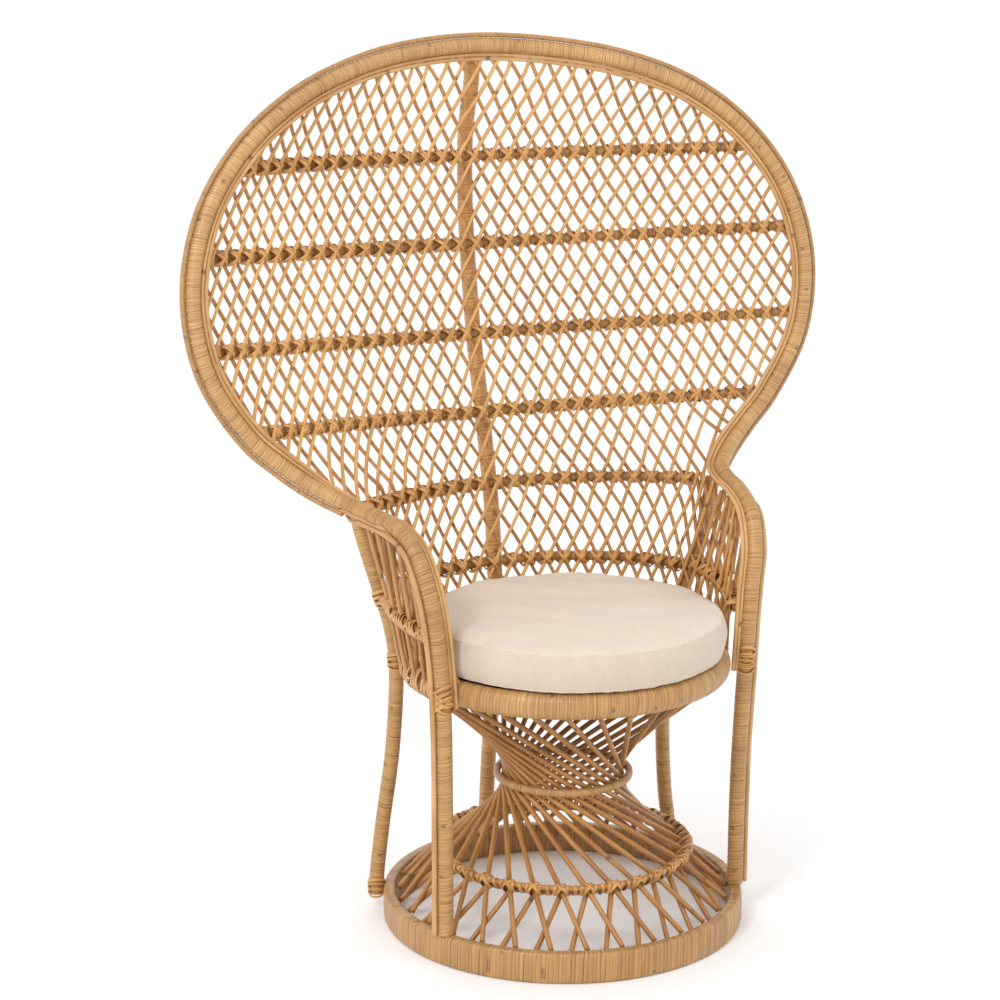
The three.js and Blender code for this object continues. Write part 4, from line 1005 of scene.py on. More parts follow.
# The braid on a side bar: loops that lean by turns, how far they stand out and reach round it
BRAID_STEP, BRAID_LEAN = 0.0075, 0.7
BRAID_LIFT, BRAID_RISE, BRAID_DEPTH = 0.0035, 0.0034, 0.0065
LOWER_BAR_SHARE = 0.376
WALL_SPLIT_TURN, WALL_SPLIT_GAP = 62.0, 1.8
side_bar_shares = (0.4615, 0.282)
upper_spindle_shares = [0.34, 0.45, 0.56, 0.67, 0.78]
lower_spindle_shares = [0.3, 0.45, 0.6, 0.75]
side_bar_peel = rattan_finish("side_bar_peel", (0.465, 0.232, 0.081), BAR_DARK, streaks=1.1)
spindle_reed = rattan_finish("spindle_reed", (0.558, 0.304, 0.108), (0.391, 0.188, 0.06), edge=0)


def side_bar_at(share):
    turn = mix(WALL_SPLIT_TURN, WALL_FOOT_TURN + WALL_SPLIT_GAP, share)
    height = mix(SEAT_TOP, wall_top, mix(*side_bar_shares, share))
    return wall_point(turn, height, LATTICE_THICKNESS / 2 + 2 * FIT + SIDE_BAR_RADIUS)


lower_bar_height = mix(SEAT_TOP, wall_top, LOWER_BAR_SHARE)
bar_turns = np.linspace(-WALL_TOP_TURN, WALL_TOP_TURN, 400)
lower_bar = wall_point(bar_turns, lower_bar_height, bar_behind_lattice)
clear = nearness(lower_bar, leg_line) > REAR_LEG_RADIUS
clear &= nearness(lower_bar, leg_line * MIRROR) > REAR_LEG_RADIUS
[lower_bar] = from_middle(clear, lower_bar)
draws = np.random.default_rng(761)
for column in range(1, 2 * WALL_COLUMNS, 2):
    turn = mix(WALL_FOOT_TURN, WALL_TOP_TURN, LOWER_BAR_SHARE) * (column / WALL_COLUMNS - 1)
    centre = wall_point(turn, lower_bar_height, bar_behind_lattice)
    if nearness(centre[None], lower_bar)[0] < BAR_RADIUS:
        towards = wall_front(turn, lower_bar_height)
        cross_lash(centre, np.cross(towards, [0, 0, 1.0]), towards, draws)
wound_piece(
    "wound_lower_back_bar", bar_peel, "lower_back_bar", lower_bar, bar_section, BAR_STRIP, 76)

side_bar = side_bar_at(np.linspace(0, 1, 200))
clear = nearness(side_bar, leg_line) > REAR_LEG_RADIUS - 0.001
clear &= nearness(side_bar, arm_line) > ARM_RADIUS - 0.001
side_bar = side_bar[longest_run(clear)]
braid = evenly(side_bar, BRAID_STEP)[1:-1]
for seed, (hand, mirrored) in zip((781, 782), HANDS):
    wound_piece(
        f"wound_side_bar_{hand}", side_bar_peel, f"side_bar_{hand}", side_bar * mirrored,
        oval(SIDE_BAR_RADIUS, SIDE_BAR_RADIUS, 12), BAR_STRIP, 78)
    draws = np.random.default_rng(seed)
    for knot, heading in zip(braid, directions(braid)):
        towards = unit(np.cross(heading, [0, 0, 1.0]))
        towards = towards * np.sign(-towards[0])
        lean = BRAID_LEAN * draws.choice([-1, 1])
        lash(
            (knot + towards * BRAID_LIFT) * mirrored, heading * mirrored, towards * mirrored,
            (SIDE_BAR_RADIUS + BRAID_RISE) / math.cos(lean), SIDE_BAR_RADIUS + BRAID_DEPTH,
            lean, draws)
    batch = Batch()
    for share in upper_spindle_shares:
        foot = side_bar_at(share)
        beside_arm = np.argmin(np.abs(arm_line[neck // 2 :, 1] - foot[1])) + neck // 2
        head = arm_line[beside_arm] + (SPINDLE_RADIUS, 0, 0)
        up = unit(head - foot)
        line = np.array([foot + up * SIDE_BAR_RADIUS / 2, head - up * ARM_RADIUS]) * mirrored
        rod(batch, line, SPINDLE_RADIUS, int(1000 * share), sides=10, crook=SPINDLE_CROOK)
    for share in lower_spindle_shares:
        head = side_bar_at(share)
        away = unit((head - (0, SEAT_CENTRE, 0)) * (1, 1, 0))
        foot = away * (SEAT_RADIUS - WALL_SIDE_INSET + LATTICE_THICKNESS / 2 + FIT + SPINDLE_RADIUS)
        line = np.array([foot + (0, SEAT_CENTRE, SEAT_MIDDLE), head]) * mirrored
        rod(batch, line, SPINDLE_RADIUS, int(2000 * share), sides=10, crook=SPINDLE_CROOK)
    spindles = [f"upper_spindle_{hand}_{k}" for k in range(1, 6)]
    spindles += [f"lower_spindle_{hand}_{k}" for k in range(1, 5)]
    batch.piece(f"plain_spindles_{hand}", spindle_reed, "plain_reed", *spindles)


# Seat: a thick oval roll wound crosswise, a round rail inside it, and a woven cane panel on the
# rail that carries the cushion.
ROLL_STRIP = 0.0056
# Three ties at the foot of each spindle, this many degrees apart, looser than the roll
ROLL_TIE_WIDTH, ROLL_TIE_STEP = 0.0072, 1.9
ROLL_TIE_OUT, ROLL_TIE_RISE, ROLL_TIE_DEPTH = 0.004, 0.0012, 0.0046
SEAT_RAIL_RADIUS = 0.006
PANEL_CHECKS, PANEL_GAP = 60.0, 0.06
roll_radius = SEAT_RADIUS - SEAT_HOOP_WIDTH / 2


def ring_line(radius, height, setback=0.0, count=361):
    """A level ring with the directions outward and up of its section."""
    azimuth = np.linspace(360, 0, count)
    line = around(radius, azimuth, height, setback)
    return line, around(1.0, azimuth, 0.0), around(0.0, azimuth, 1.0)


wound_piece(
    "wound_seat_roll", arm_finish, "seat_hoop", ring_line(roll_radius, SEAT_MIDDLE, SEAT_CENTRE),
    oval(SEAT_HOOP_WIDTH / 2, SEAT_HOOP_HEIGHT / 2, 20), ROLL_STRIP, 101, hand=-1)


def ring_rod(batch, radius, height, thickness, seed, setback=0.0, sides=10, count=240):
    """A plain round reed bent into a level ring."""
    draws = np.random.default_rng(seed)
    azimuth = 360 * np.arange(count)[:, None] / count
    turn = np.radians(azimuth)
    phases = draws.uniform(0, 6.3, 3)
    wave = 0.0005 * np.sin(turn * 7 + phases[0]) + 0.0004 * np.sin(turn * 17 + phases[1])
    angles = 2 * math.pi * np.arange(sides) / sides
    out = radius + wave + thickness * np.cos(angles)
    up = height + 0.6 * wave[::-1] + thickness * np.sin(angles)
    girth = 2 * math.pi * radius / count
    u = np.arange(count)[:, None] * girth + GRAIN_LENGTH * draws.uniform()
    skin(batch, around(out, azimuth, up, setback), reed_corners(u, u + girth, sides), turned=True)


draws = np.random.default_rng(105)
for share in lower_spindle_shares:
    head = side_bar_at(share)
    foot_turn = math.degrees(math.atan2(head[0], SEAT_CENTRE - head[1]))
    for turn in (foot_turn - ROLL_TIE_STEP, foot_turn, foot_turn + ROLL_TIE_STEP):
        outward = around(1.0, turn, 0.0)
        centre = around(roll_radius + ROLL_TIE_OUT, turn, SEAT_MIDDLE, SEAT_CENTRE)
        for _, mirrored in HANDS:
            lash(
                centre * mirrored, np.cross(outward, [0, 0, 1.0]) * mirrored, outward * mirrored,
                SEAT_HOOP_HEIGHT / 2 + ROLL_TIE_RISE, SEAT_HOOP_WIDTH / 2 + ROLL_TIE_DEPTH,
                draws.uniform(-0.2, 0.2), draws, width=ROLL_TIE_WIDTH)

batch = Batch()
rail_ring = SEAT_RADIUS - SEAT_HOOP_WIDTH - FIT - SEAT_RAIL_RADIUS
ring_rod(batch, rail_ring, SEAT_MIDDLE, SEAT_RAIL_RADIUS, 103, SEAT_CENTRE)
batch.piece("seat_rail_reed", back_reed, "plain_reed", "seat_rail")

panel_finish, t = new_finish("woven_panel")
checks = add_node(t, "ShaderNodeTexBrick", {
    "Vector": on_object(t), "Scale": PANEL_CHECKS, "Mortar Size": PANEL_GAP,
    "Mortar": (0.06, 0.03, 0.015, 1), "Color1": (0.42, 0.26, 0.12, 1),
    "Color2": (0.3, 0.17, 0.075, 1),
}).outputs
panel_bump = add_node(t, "ShaderNodeBump", {
    "Distance": 0.001, "Strength": 0.6, "Height": sums(t, "SUBTRACT", 1.0, checks["Fac"])})
to_shader(t, {"Base Color": checks["Color"], "Normal": panel_bump.outputs[0], "Roughness": 0.6})
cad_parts["seat_deck"].data.materials.clear()
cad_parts["seat_deck"].data.materials.append(panel_finish)


# Base: a tall band wound with upright strips stands on the floor, and a wound ring grips the
# waist of the hourglass.
BASE_WIDTH, BAND_STRIP = 0.022, 0.0068
WAIST_RADIUS, WAIST_HEIGHT, WAIST_DROP = 0.103, 0.262, 0.003
WAIST_BAND_HEIGHT, WAIST_BAND_WIDTH = 0.02, 0.012
BASE_REED_RADIUS = 0.0045
band_peel = rattan_finish("band_peel", (0.54, 0.3, 0.1), (0.33, 0.16, 0.046))
waist_ring = WAIST_RADIUS + BASE_REED_RADIUS + 2 * FIT + WAIST_BAND_WIDTH / 2
wound_piece(
    "wound_base_band", band_peel, "base_hoop",
    ring_line(BASE_RADIUS - BASE_WIDTH / 2, BASE_HEIGHT / 2),
    oval(BASE_WIDTH / 2, BASE_HEIGHT / 2, 28, squareness=5.0), BAND_STRIP, 111, hand=-1)
wound_piece(
    "wound_waist_ring", band_peel, "waist_ring", ring_line(waist_ring, WAIST_HEIGHT - WAIST_DROP),
    oval(WAIST_BAND_WIDTH / 2, WAIST_BAND_HEIGHT / 2 - WAIST_DROP, 16, squareness=2.4),
    BAR_STRIP, 113, hand=-1)


# Hourglass: thirty long round reeds run from under the seat in to the waist and out again over
# the middle hoops to the band, and thirty short ones lean the other way below the hoops.
MID_HOOP_RADIUS, MID_HOOP_HEIGHT, MID_REED_RADIUS = 0.212, 0.124, 0.0045
BASE_REEDS, REED_START = 30, -0.5
SEAT_INSET, BASE_OVERLAP = 0.023, 0.005
UPPER_TWIST_SHARE, LOWER_TWIST_SHARE, SKIRT_TURN = 1.163, 1.067, 9.0
TIE_WIDTH = 0.0058
# The knots on the middle hoop: the lean of each loop and its place along the hoop
KNOT_LOOPS = ((0.85, 0), (-0.85, 0), (0.15, 0.011), (-0.3, 0.022), (0.3, -0.011))
base_reed = rattan_finish("base_reed", (0.5, 0.235, 0.052), (0.31, 0.122, 0.024), edge=0)
# Radius and height of a long reed at the seat, the waist, the middle hoops and the band
stations = [
    (SEAT_RADIUS - SEAT_INSET, SEAT_TOP - SEAT_HOOP_HEIGHT - FIT - BASE_REED_RADIUS),
    (WAIST_RADIUS, WAIST_HEIGHT - WAIST_BAND_HEIGHT / 2),
    (MID_HOOP_RADIUS, MID_HOOP_HEIGHT),
    (BASE_RADIUS - BASE_WIDTH - FIT - BASE_REED_RADIUS, BASE_HEIGHT - BASE_OVERLAP),
]
# A long reed is twisted a little past the line that would just touch the waist
waist_turn = math.degrees(math.acos(WAIST_RADIUS / stations[0][0])) * UPPER_TWIST_SHARE
knot_turn = waist_turn + math.degrees(math.acos(WAIST_RADIUS / stations[2][0])) * LOWER_TWIST_SHARE
long_turns = [0, waist_turn, knot_turn, knot_turn + SKIRT_TURN]


def softened(corners, bend=0.02, step=0.004):
    """A row of straight runs whose corners are bent round."""
    line = evenly(np.array(corners), step)
    reach = int(bend / step)
    padded = np.pad(line, ((reach, reach), (0, 0)), mode="edge")
    weights = np.hanning(2 * reach + 3)[1:-1]
    weights = weights / weights.sum()
    smooth = np.stack([np.convolve(padded[:, k], weights, "valid") for k in range(3)], axis=1)
    return np.vstack([line[:1], smooth[1:-1], line[-1:]])


# The two middle hoops lie against the bend of the long reeds, one on each side
above, bend, below = (np.array(place) for place in stations[1:])
along_bend = unit(unit(bend - above) + unit(below - bend))
layer_gap = BASE_REED_RADIUS + 2 * FIT + MID_REED_RADIUS
hoop_out = np.array([-along_bend[1], along_bend[0]])
outer_hoop, inner_hoop = bend + layer_gap * hoop_out, bend - layer_gap * hoop_out
starts = REED_START + 360 * np.arange(BASE_REEDS) / BASE_REEDS
knots = starts + knot_turn

batch = Batch()
for k, start in enumerate(starts):
    corners = [
        around(radius, start + turn, height)
        for (radius, height), turn in zip(stations, long_turns)]
    rod(batch, softened(corners), BASE_REED_RADIUS, 120 + k, sides=10)
batch.piece("hourglass_long_reeds", base_reed, "plain_reed", "hourglass_reeds")
batch = Batch()
low_radius, low_height = stations[3]
for k, knot in enumerate(knots):
    foot = around(low_radius, knot - SKIRT_TURN, low_height - 3 * BASE_REED_RADIUS - FIT)
    head = around(inner_hoop[0], knot, inner_hoop[1])
    head = head + unit(head - foot) * 2 * BASE_REED_RADIUS
    rod(batch, [foot, head], BASE_REED_RADIUS, 160 + k, sides=10, crook=0.0004)
ring_rod(batch, *inner_hoop, MID_REED_RADIUS, 191)
batch.piece("skirt_short_reeds", base_reed, "plain_reed", "skirt_reeds")
batch = Batch()
ring_rod(batch, *outer_hoop, MID_REED_RADIUS, 193)
batch.piece("mid_hoop_reed", base_reed, "plain_reed", "mid_hoop")
draws = np.random.default_rng(195)
for knot in knots:
    centre = around(bend[0], knot, bend[1])
    towards = around(hoop_out[0], knot, hoop_out[1])
    tangent = unit(np.cross(towards, around(hoop_out[1], knot, -hoop_out[0])))
    for lean, aside in KNOT_LOOPS:
        lean = lean + draws.uniform(-0.1, 0.1)
        rise, depth = (0.0012, 0.0002) if aside else (0.0034, 0.0012)
        lash(
            centre + tangent * aside, tangent, towards, (MID_REED_RADIUS + rise) / math.cos(lean),
            layer_gap + MID_REED_RADIUS + depth, lean, draws, width=TIE_WIDTH)


# Lashings of the legs: crossed turns of peel where each rear leg passes the side bar, the roll
# and the foot of the chair, and where the front legs pass the roll.
LEG_LASH_LIFT, LEG_LASH_STEP, LEG_LASH_LEAN = 0.0012, 0.0045, 0.55
rear_leg_ties = [FOOT_CLEARANCE + 0.012, SEAT_MIDDLE - 0.004, side_bar[0][2]]
front_leg_ties = [SEAT_MIDDLE + 0.012, SEAT_MIDDLE - 0.012]
for _, mirrored in HANDS:
    for line, radius, heights, seed in (
        (leg_line, REAR_LEG_RADIUS, rear_leg_ties, 301),
        (arm_line, ARM_RADIUS, front_leg_ties, 302),
    ):
        draws = np.random.default_rng(seed)
        half = radius + LEG_LASH_LIFT
        for height in heights:
            nearest = np.argmin(np.abs(line[:, 2] - height))
            heading = directions(line)[nearest]
            towards = unit(np.cross(np.cross(heading, line[nearest] * (1, 1, 0)), heading))
            for turn in range(-2, 3):
                lean = LEG_LASH_LEAN * (1 if turn % 2 else -1) + draws.uniform(-0.1, 0.1)
                lash(
                    (line[nearest] + heading * turn * LEG_LASH_STEP) * mirrored, heading * mirrored,
                    towards * mirrored, half / math.cos(lean), half, lean, draws, width=TIE_WIDTH)
lashings.piece("peel_lashings", lash_peel, "wrapped_cane")


# Splices: where the rim runs into each arm a split reed is laid along the outer side of the
# joint, smooth and flat, held by a few small nails.
SPLICE_SPAN, SPLICE_LEAD, SPLICE_THICKNESS = 0.17, 0.06, 0.0018
SPLICE_TAPER, SPLICE_TURN, SPLICE_THINNING = 0.03, 0.95, 0.0006
SPLICE_STEPS, NAIL_PLACES = 60, (6, 24, 38, 53)
NAIL_RADIUS, NAIL_DEPTH, NAIL_HEAD = 0.0012, 0.001, 0.0005
splice_reed = rattan_finish(
    "splice_reed", (0.577, 0.32, 0.114), (0.391, 0.184, 0.054), edge=0, streaks=1.3)
nail_finish, t = new_finish("nail_heads")
specks = noise_at(t, on_object(t), scale=900)
rust = blended(t, specks, (0.05, 0.035, 0.025, 1), (0.16, 0.09, 0.05, 1))
to_shader(t, {"Base Color": rust, "Metallic": 0.8, "Roughness": 0.5})

joint_reach = reach_along(pole_line)
joint = np.abs(joint_reach - joint_reach[neck] + SPLICE_LEAD) < SPLICE_SPAN / 2
far = reach_along(pole_line[joint])
at = np.linspace(0, far[-1], SPLICE_STEPS)
line = at_places(at, far, pole_line[joint])
outward = unit(at_places(at, far, pole_outward[joint]))
under = np.cross(directions(line), outward)
narrow = np.clip(np.minimum(at, at[::-1]) / SPLICE_TAPER, 0.12, 1)
spread = SPLICE_TURN * narrow[:, None] * np.array([-1, -0.5, 0, 0.5, 1])
base = ARM_RADIUS + 0.0001
skins = []
for height in (base, base + SPLICE_THICKNESS):
    lift = (height - SPLICE_THINNING * np.abs(spread))[..., None]
    rays = outward[:, None] * np.cos(spread)[..., None] + under[:, None] * np.sin(spread)[..., None]
    skins.append(line[:, None] + rays * lift)
around_strip = np.concatenate([skins[0], skins[1][:, ::-1]], axis=1)
u, v = at[:, None], np.linspace(0, 1, around_strip.shape[1])
splice_corners = corner_places(u[:-1], u[1:], v, np.roll(v, -1))
nails = Batch()
for hand, mirrored in HANDS:
    batch = Batch()
    skin(batch, around_strip * mirrored, splice_corners, turned=hand == "right", cap=0.5)
    batch.piece(f"neck_splice_{hand}", splice_reed, "wrapped_cane")
    for place in NAIL_PLACES:
        head = line[place] + outward[place] * (base + SPLICE_THICKNESS)
        ends = np.array([head - outward[place] * NAIL_DEPTH, head + outward[place] * NAIL_HEAD])
        rod(nails, ends * mirrored, NAIL_RADIUS, place, sides=8, spacing=0.0005)
nails.piece("neck_nails", nail_finish, "wrapped_cane")


# Cushion: a loose round box cushion of undyed canvas, filled firm, with a thin seam round its
# top and bottom edges and a zip in the side at the back.
CUSHION_RADIUS, CUSHION_CENTRE, CUSHION_HEIGHT = 0.264, -0.034, 0.068
CUSHION_CROWN, CUSHION_DRAW_IN, CUSHION_BULGE = 0.012, 0.006, 0.008
CUSHION_SPOKES, CUSHION_VOXEL = 96, 0.0055
CUSHION_PRESSURE, CUSHION_FRAMES, MOST_SWELL = 4.0, 20, 0.0055
# Half the way between the arms, the room past them, and how far along it widens
ARM_PRESS, ARM_EASE, ARM_EASE_SPAN = 0.2465, 0.03, (0.012, 0.05)
# Heights of the folds on the top and of the puckers at the side, which begin this far out
TOP_FOLDS, SIDE_PUCKERS, SIDE_FROM = (0.0014, 0.0018), (0.0006, 0.0009), 0.22
# A face that faces up or down more than this is laid on the cloth from above
LEVEL_FROM = 0.6
CANVAS_LIGHT = (0.73, 0.63, 0.52)
CANVAS_DARK = (0.55, 0.45, 0.345)
cushion_low = SEAT_TOP + FIT
cushion_seam = cushion_low + CUSHION_HEIGHT

canvas_group, knobs, canvas_out = new_group(
    "canvas_weave", Light=CANVAS_LIGHT, Dark=CANVAS_DARK, Thread=0.001)
t = canvas_group
cloth_place = on_strip(t, "weave")


def thread_wave(place):
    return sums(t, "SINE", sums(t, "DIVIDE", times(t, place, math.pi), knobs["Thread"]))


def slubs(length_scale, width_scale):
    vector = add_node(t, "ShaderNodeCombineXYZ", {
        "X": times(t, cloth_place[0], length_scale), "Y": times(t, cloth_place[1], width_scale),
    }).outputs[0]
    return eased(t, noise_at(t, vector), 0.52, 0.74)


weave = times(t, thread_wave(cloth_place[0]), thread_wave(cloth_place[1]))
slub = sums(t, "ADD", slubs(30, 700), slubs(700, 30))
cloth_tone = times(t, sums(t, "SUBTRACT", noise_at(t, on_object(t), scale=14, detail=4), 0.5), 0.5)
# Painted shade: the band round the side, where the surface faces sideways, is coloured darker than
# the top
upright = parted(t, add_node(t, "ShaderNodeNewGeometry", {}).outputs["Normal"])[2]
share = sums(t, "MULTIPLY_ADD", slub, 0.3, 0.12)
for more in (cloth_tone, times(t, weave, 0.1), eased(t, upright, 0.25, 0.7, 0.45, 0.0)):
    share = sums(t, "ADD", share, more, clamp=True)
fill(t, canvas_out, {
    "Colour": blended(t, share, knobs["Light"], knobs["Dark"]),
    "Roughness": eased(t, weave, -1, 1, 0.92, 0.78),
    "Height": sums(t, "ADD", weave, slub),
})


def canvas_finish(name, light, dark):
    values = {"Light": light, "Dark": dark}
    sheen = {"Sheen Weight": 0.25, "Sheen Roughness": 0.5}
    return grained(name, canvas_group, values, 0.5, 0.0003, sheen)


# Half outline from the middle of the bottom to the middle of the top, a little inside the cover
outline = [(CUSHION_RADIUS * share, cushion_low) for share in (0.2, 0.4, 0.6, 0.8, 0.9, 0.97)]
for share in np.linspace(0, 1, 7):
    bulge = CUSHION_BULGE * math.cos(math.pi * (share - 0.5))
    height = mix(cushion_low + 0.003, cushion_seam - 0.003, share)
    outline.append((CUSHION_RADIUS - CUSHION_DRAW_IN + bulge, height))
outline += [
    (CUSHION_RADIUS * share, cushion_seam + CUSHION_CROWN * (1 - share**4) * 0.55)
    for share in (0.975, 0.9, 0.8, 0.6, 0.4, 0.2)
]
radii, heights = np.array(outline)[:, :, None].transpose(1, 0, 2)
spoke_turns = 360 * np.arange(CUSHION_SPOKES) / CUSHION_SPOKES
cover_rings = around(radii, spoke_turns, heights, CUSHION_CENTRE)
index = np.arange(cover_rings[..., 0].size).reshape(-1, CUSHION_SPOKES)
beside = np.roll(index, -1, axis=1)
cover_faces = np.stack([index[:-1], beside[:-1], beside[1:], index[1:]], axis=-1).reshape(-1, 4)
ends = [index[0][::-1].tolist(), index[-1].tolist()]


def shaped(thing):
    """The piece as its modifiers leave it."""
    return thing.evaluated_get(bpy.context.evaluated_depsgraph_get())


pattern = bpy.data.meshes.new("cover_pattern")
pattern.from_pydata(cover_rings.reshape(-1, 3) + CENTRE, [], cover_faces.tolist() + ends)
cut_cover = placed("cover_pattern", pattern)
remesh = cut_cover.modifiers.new("remesh", "REMESH")
remesh.mode = "VOXEL"
remesh.voxel_size = CUSHION_VOXEL
remesh.use_smooth_shade = True
cover_mesh = bpy.data.meshes.new_from_object(shaped(cut_cover))
bpy.data.objects.remove(cut_cover)
cushion_piece = placed("canvas_cushion", cover_mesh)


def mesh_points(mesh):
    values = np.empty(len(mesh.vertices) * 3)
    mesh.vertices.foreach_get("co", values)
    return values.reshape(-1, 3)


cover = mesh_points(cover_mesh)
cloth = cushion_piece.modifiers.new("cloth", "CLOTH")
for key, value in {
    "quality": 4, "mass": 0.4, "use_pressure": True,
    "uniform_pressure_force": CUSHION_PRESSURE,
}.items():
    setattr(cloth.settings, key, value)
cloth.settings.effector_weights.gravity = 0
cloth.point_cache.frame_start = 1
cloth.point_cache.frame_end = CUSHION_FRAMES
for frame_number in range(1, CUSHION_FRAMES + 1):
    bpy.context.scene.frame_set(frame_number)
swollen = mesh_points(shaped(cushion_piece).data)
cushion_piece.modifiers.remove(cloth)
bpy.context.scene.frame_set(1)
moved = swollen - cover
size = np.linalg.norm(moved, axis=1, keepdims=True)
cover = cover + moved * np.minimum(1, MOST_SWELL / np.maximum(size, 1e-9))

# Soft folds: long ones that cross the top, short ones that fan out from the seams of the side
local = cover - CENTRE - (0, CUSHION_CENTRE, 0)
azimuth = np.arctan2(local[:, 0], -local[:, 1])
away = np.hypot(local[:, 0], local[:, 1])
top_share = smoothstep(local[:, 2], cushion_seam - 0.004, cushion_seam + 0.002)
fold_line = 0.8 * local[:, 0] + 0.6 * local[:, 1]
cross_line = -0.6 * local[:, 0] + 0.8 * local[:, 1]
folds = TOP_FOLDS[0] * np.sin(fold_line * 90 + 2.2 * np.sin(cross_line * 11))
folds *= np.sin(cross_line * 7 + 1.1)
folds += TOP_FOLDS[1] * np.sin(fold_line * 41 + 5 * np.sin(cross_line * 6 + 0.4))
cover[:, 2] += folds * top_share
rim_share = sum(
    np.exp(-(((local[:, 2] - seam) / width) ** 2))
    for seam, width in ((cushion_seam, 0.012), (cushion_low, 0.014)))
puckers = SIDE_PUCKERS[0] * np.sin(azimuth * 61 + 3 * np.sin(azimuth * 7)) * rim_share
puckers += SIDE_PUCKERS[1] * np.sin(azimuth * 19 + 2 * np.sin(azimuth * 5)) * (1 - top_share)
puckers = puckers * (away > SIDE_FROM) / np.maximum(away, 1e-6)
cover[:, :2] += local[:, :2] * puckers[:, None]
cover[:, 2] = np.maximum(cover[:, 2], CENTRE[2] + cushion_low)
# Pressed in a little where it passes the arms
from_arms = np.abs(local[:, 1] + CUSHION_CENTRE + LEG_ADVANCE)
arm_limit = ARM_PRESS + ARM_EASE * smoothstep(from_arms, *ARM_EASE_SPAN)
cover[:, 0] = np.clip(cover[:, 0], CENTRE[0] - arm_limit, CENTRE[0] + arm_limit)
cover_mesh.vertices.foreach_set("co", cover.ravel())
cover_mesh.update()

# Place of each corner on the cloth: level faces from above, the side unrolled
loop_points = np.empty(len(cover_mesh.loops), int)
cover_mesh.loops.foreach_get("vertex_index", loop_points)
faces = cover_mesh.polygons
loop_faces = np.repeat(np.arange(len(faces)), [face.loop_total for face in faces])
level = np.array([abs(face.normal.z) > LEVEL_FROM for face in faces])[loop_faces]
face_centres = np.array([face.center for face in faces]) - CENTRE - (0, CUSHION_CENTRE, 0)
face_azimuth = np.arctan2(face_centres[:, 0], -face_centres[:, 1])[loop_faces]
turned = azimuth[loop_points] - face_azimuth
unrolled = face_azimuth + (turned + math.pi) % (2 * math.pi) - math.pi
on_cloth = cover[loop_points]
weave_places = np.where(
    level[:, None], on_cloth[:, :2], np.stack([unrolled * CUSHION_RADIUS, on_cloth[:, 2]], axis=1))
cover_mesh.uv_layers.new(name="weave")
cover_mesh.uv_layers["weave"].data.foreach_set("uv", weave_places.ravel())
faces.foreach_set("use_smooth", np.ones(len(faces), bool))
cover_mesh.materials.clear()
cover_mesh.materials.append(canvas_finish("canvas", CANVAS_LIGHT, CANVAS_DARK))
rounding = cushion_piece.modifiers.new("rounding", "SUBSURF")
rounding.levels = rounding.render_levels = 1
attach(cushion_piece, "cushion")
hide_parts("cushion_cover", "cushion_foam")


# Seams and zip: a thin cord of thread round the top and bottom edges, and behind, a woven tape
# set in the side with a row of teeth along its middle and a slider with its pull.
SEAM_RADIUS, SEAM_SINK, SEAM_SIDES = 0.0009, 0.0002, 6
# How far a seam lies below the top edge and above the bottom one
SEAM_INSETS = (0.0035, 0.0055)
ZIP_LENGTH, ZIP_WIDTH, ZIP_TEETH = 0.38, 0.009, 190
TOOTH_HALF, TOOTH_RADIUS, TOOTH_OUT = (0, 0, 0.0019), 0.0006, 0.0012
SLIDER_HALF, SLIDER_RADIUS, SLIDER_OUT = (0, 0, 0.004), 0.003, 0.003
PULL_LENGTH, PULL_RADIUS = (0, 0, 0.019), 0.0016
cover_tree = BVHTree.FromPolygons(
    [Vector(point) for point in cover], [tuple(face.vertices) for face in faces])


def on_side(turn, height):
    """The point of the cushion's side at an azimuth, in degrees from the front, and a height."""
    inward = -Vector(around(1.0, turn, 0.0))
    middle = Vector(CENTRE) + Vector((0, CUSHION_CENTRE, height))
    return np.array(cover_tree.ray_cast(middle - inward * 0.4, inward)[0]) - CENTRE


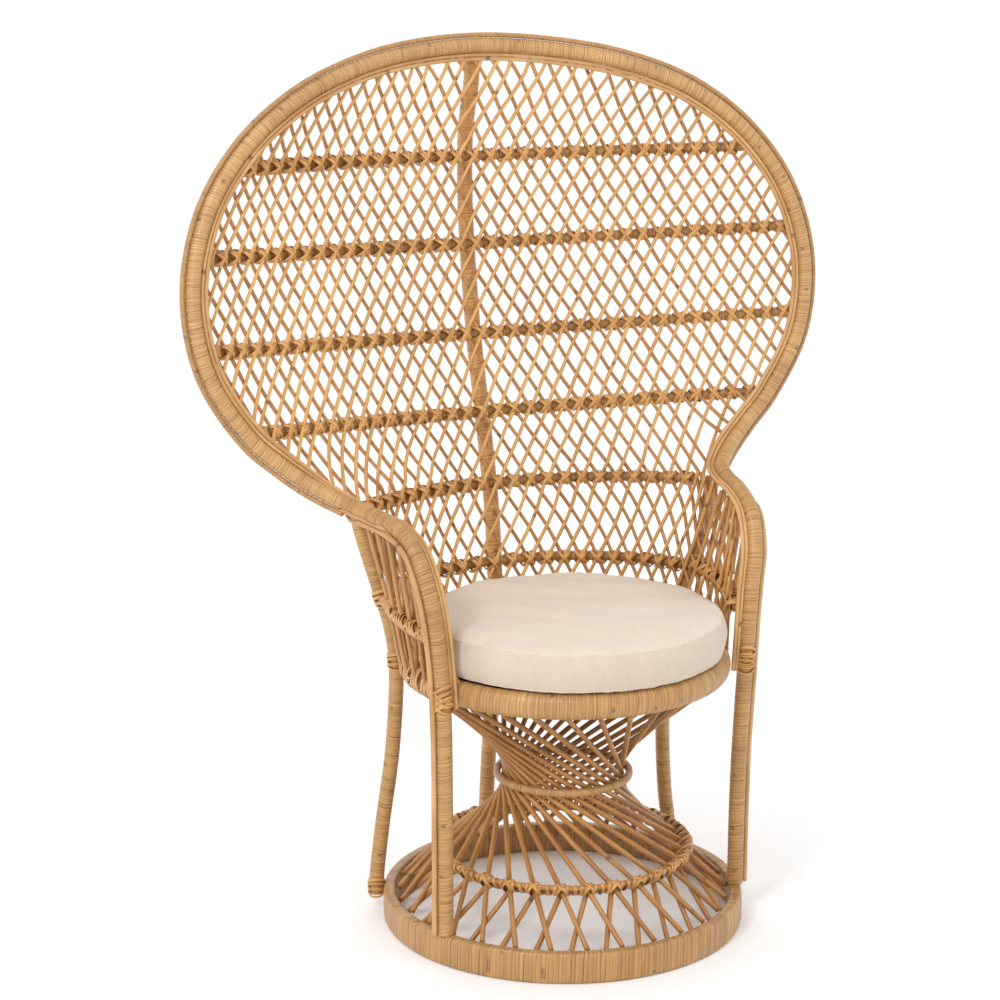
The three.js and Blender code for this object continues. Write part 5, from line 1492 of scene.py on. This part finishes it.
batch = Batch()
seam_turns = np.linspace(0, 360, 420, endpoint=False)
for height in (cushion_seam - SEAM_INSETS[0], cushion_low + SEAM_INSETS[1]):
    line = np.array([on_side(turn, height) for turn in seam_turns])
    line = line - unit(line - (0, CUSHION_CENTRE, 0)) * (1, 1, 0) * SEAM_SINK
    ahead = directions(line, closed=True)
    side = unit(np.cross(ahead, [0, 0, 1.0]))
    grain = 0.004 * np.arange(len(line))[:, None, None, None]
    cord = tube(line, side, np.cross(side, ahead), SEAM_RADIUS, SEAM_SIDES)
    skin(batch, cord, np.broadcast_to(grain, (len(line), SEAM_SIDES, 4, 2)), turned=True)
seam_thread = rattan_finish(
    "seam_thread", (0.74, 0.64, 0.5), (0.6, 0.5, 0.38), edge=0, knots=0, coat=0)
batch.piece("cushion_seams", seam_thread, "canvas", body="cushion")

zip_height = cushion_low + CUSHION_HEIGHT / 2
zip_reach = math.degrees(ZIP_LENGTH / 2 / CUSHION_RADIUS)
zip_start, zip_end = 180 - zip_reach, 180 + zip_reach
zip_turns = np.linspace(zip_start, zip_end, 110)
levels = zip_height + ZIP_WIDTH * np.array([-0.5, -0.17, 0.17, 0.5])
tape = np.array([[on_side(turn, level) for level in levels] for turn in zip_turns])
tape_out = around(1.0, zip_turns, 0.0)[:, None]
tape = np.concatenate([tape - tape_out * 0.0008, (tape + tape_out * 0.0009)[:, ::-1]], axis=1)
batch = Batch()
skin(batch, tape, np.zeros((len(tape) - 1, 8, 4, 2)), cap=0.0)
for turn in np.linspace(zip_start + 1, zip_end - 1, ZIP_TEETH):
    middle = on_side(turn, zip_height) + around(1.0, turn, 0.0) * TOOTH_OUT
    rod(batch, [middle - TOOTH_HALF, middle + TOOTH_HALF], TOOTH_RADIUS, 5, 4, spacing=0.002)
slider, out = on_side(zip_start + 2, zip_height), around(1.0, zip_start + 2, 0.0)
middle, knob = slider + out * SLIDER_OUT, slider + out * SLIDER_OUT * 2
rod(batch, [middle - SLIDER_HALF, middle + SLIDER_HALF], SLIDER_RADIUS, 6, 10, spacing=0.001)
pull_end = slider + out * SLIDER_OUT * 1.5 - PULL_LENGTH
rod(batch, [knob, pull_end], PULL_RADIUS, 7, spacing=0.001)
zip_tape = canvas_finish("zip_tape", (0.66, 0.57, 0.44), (0.5, 0.42, 0.32))
batch.piece("cushion_zip_tape", zip_tape, "zip", "cushion_zip", body="cushion")
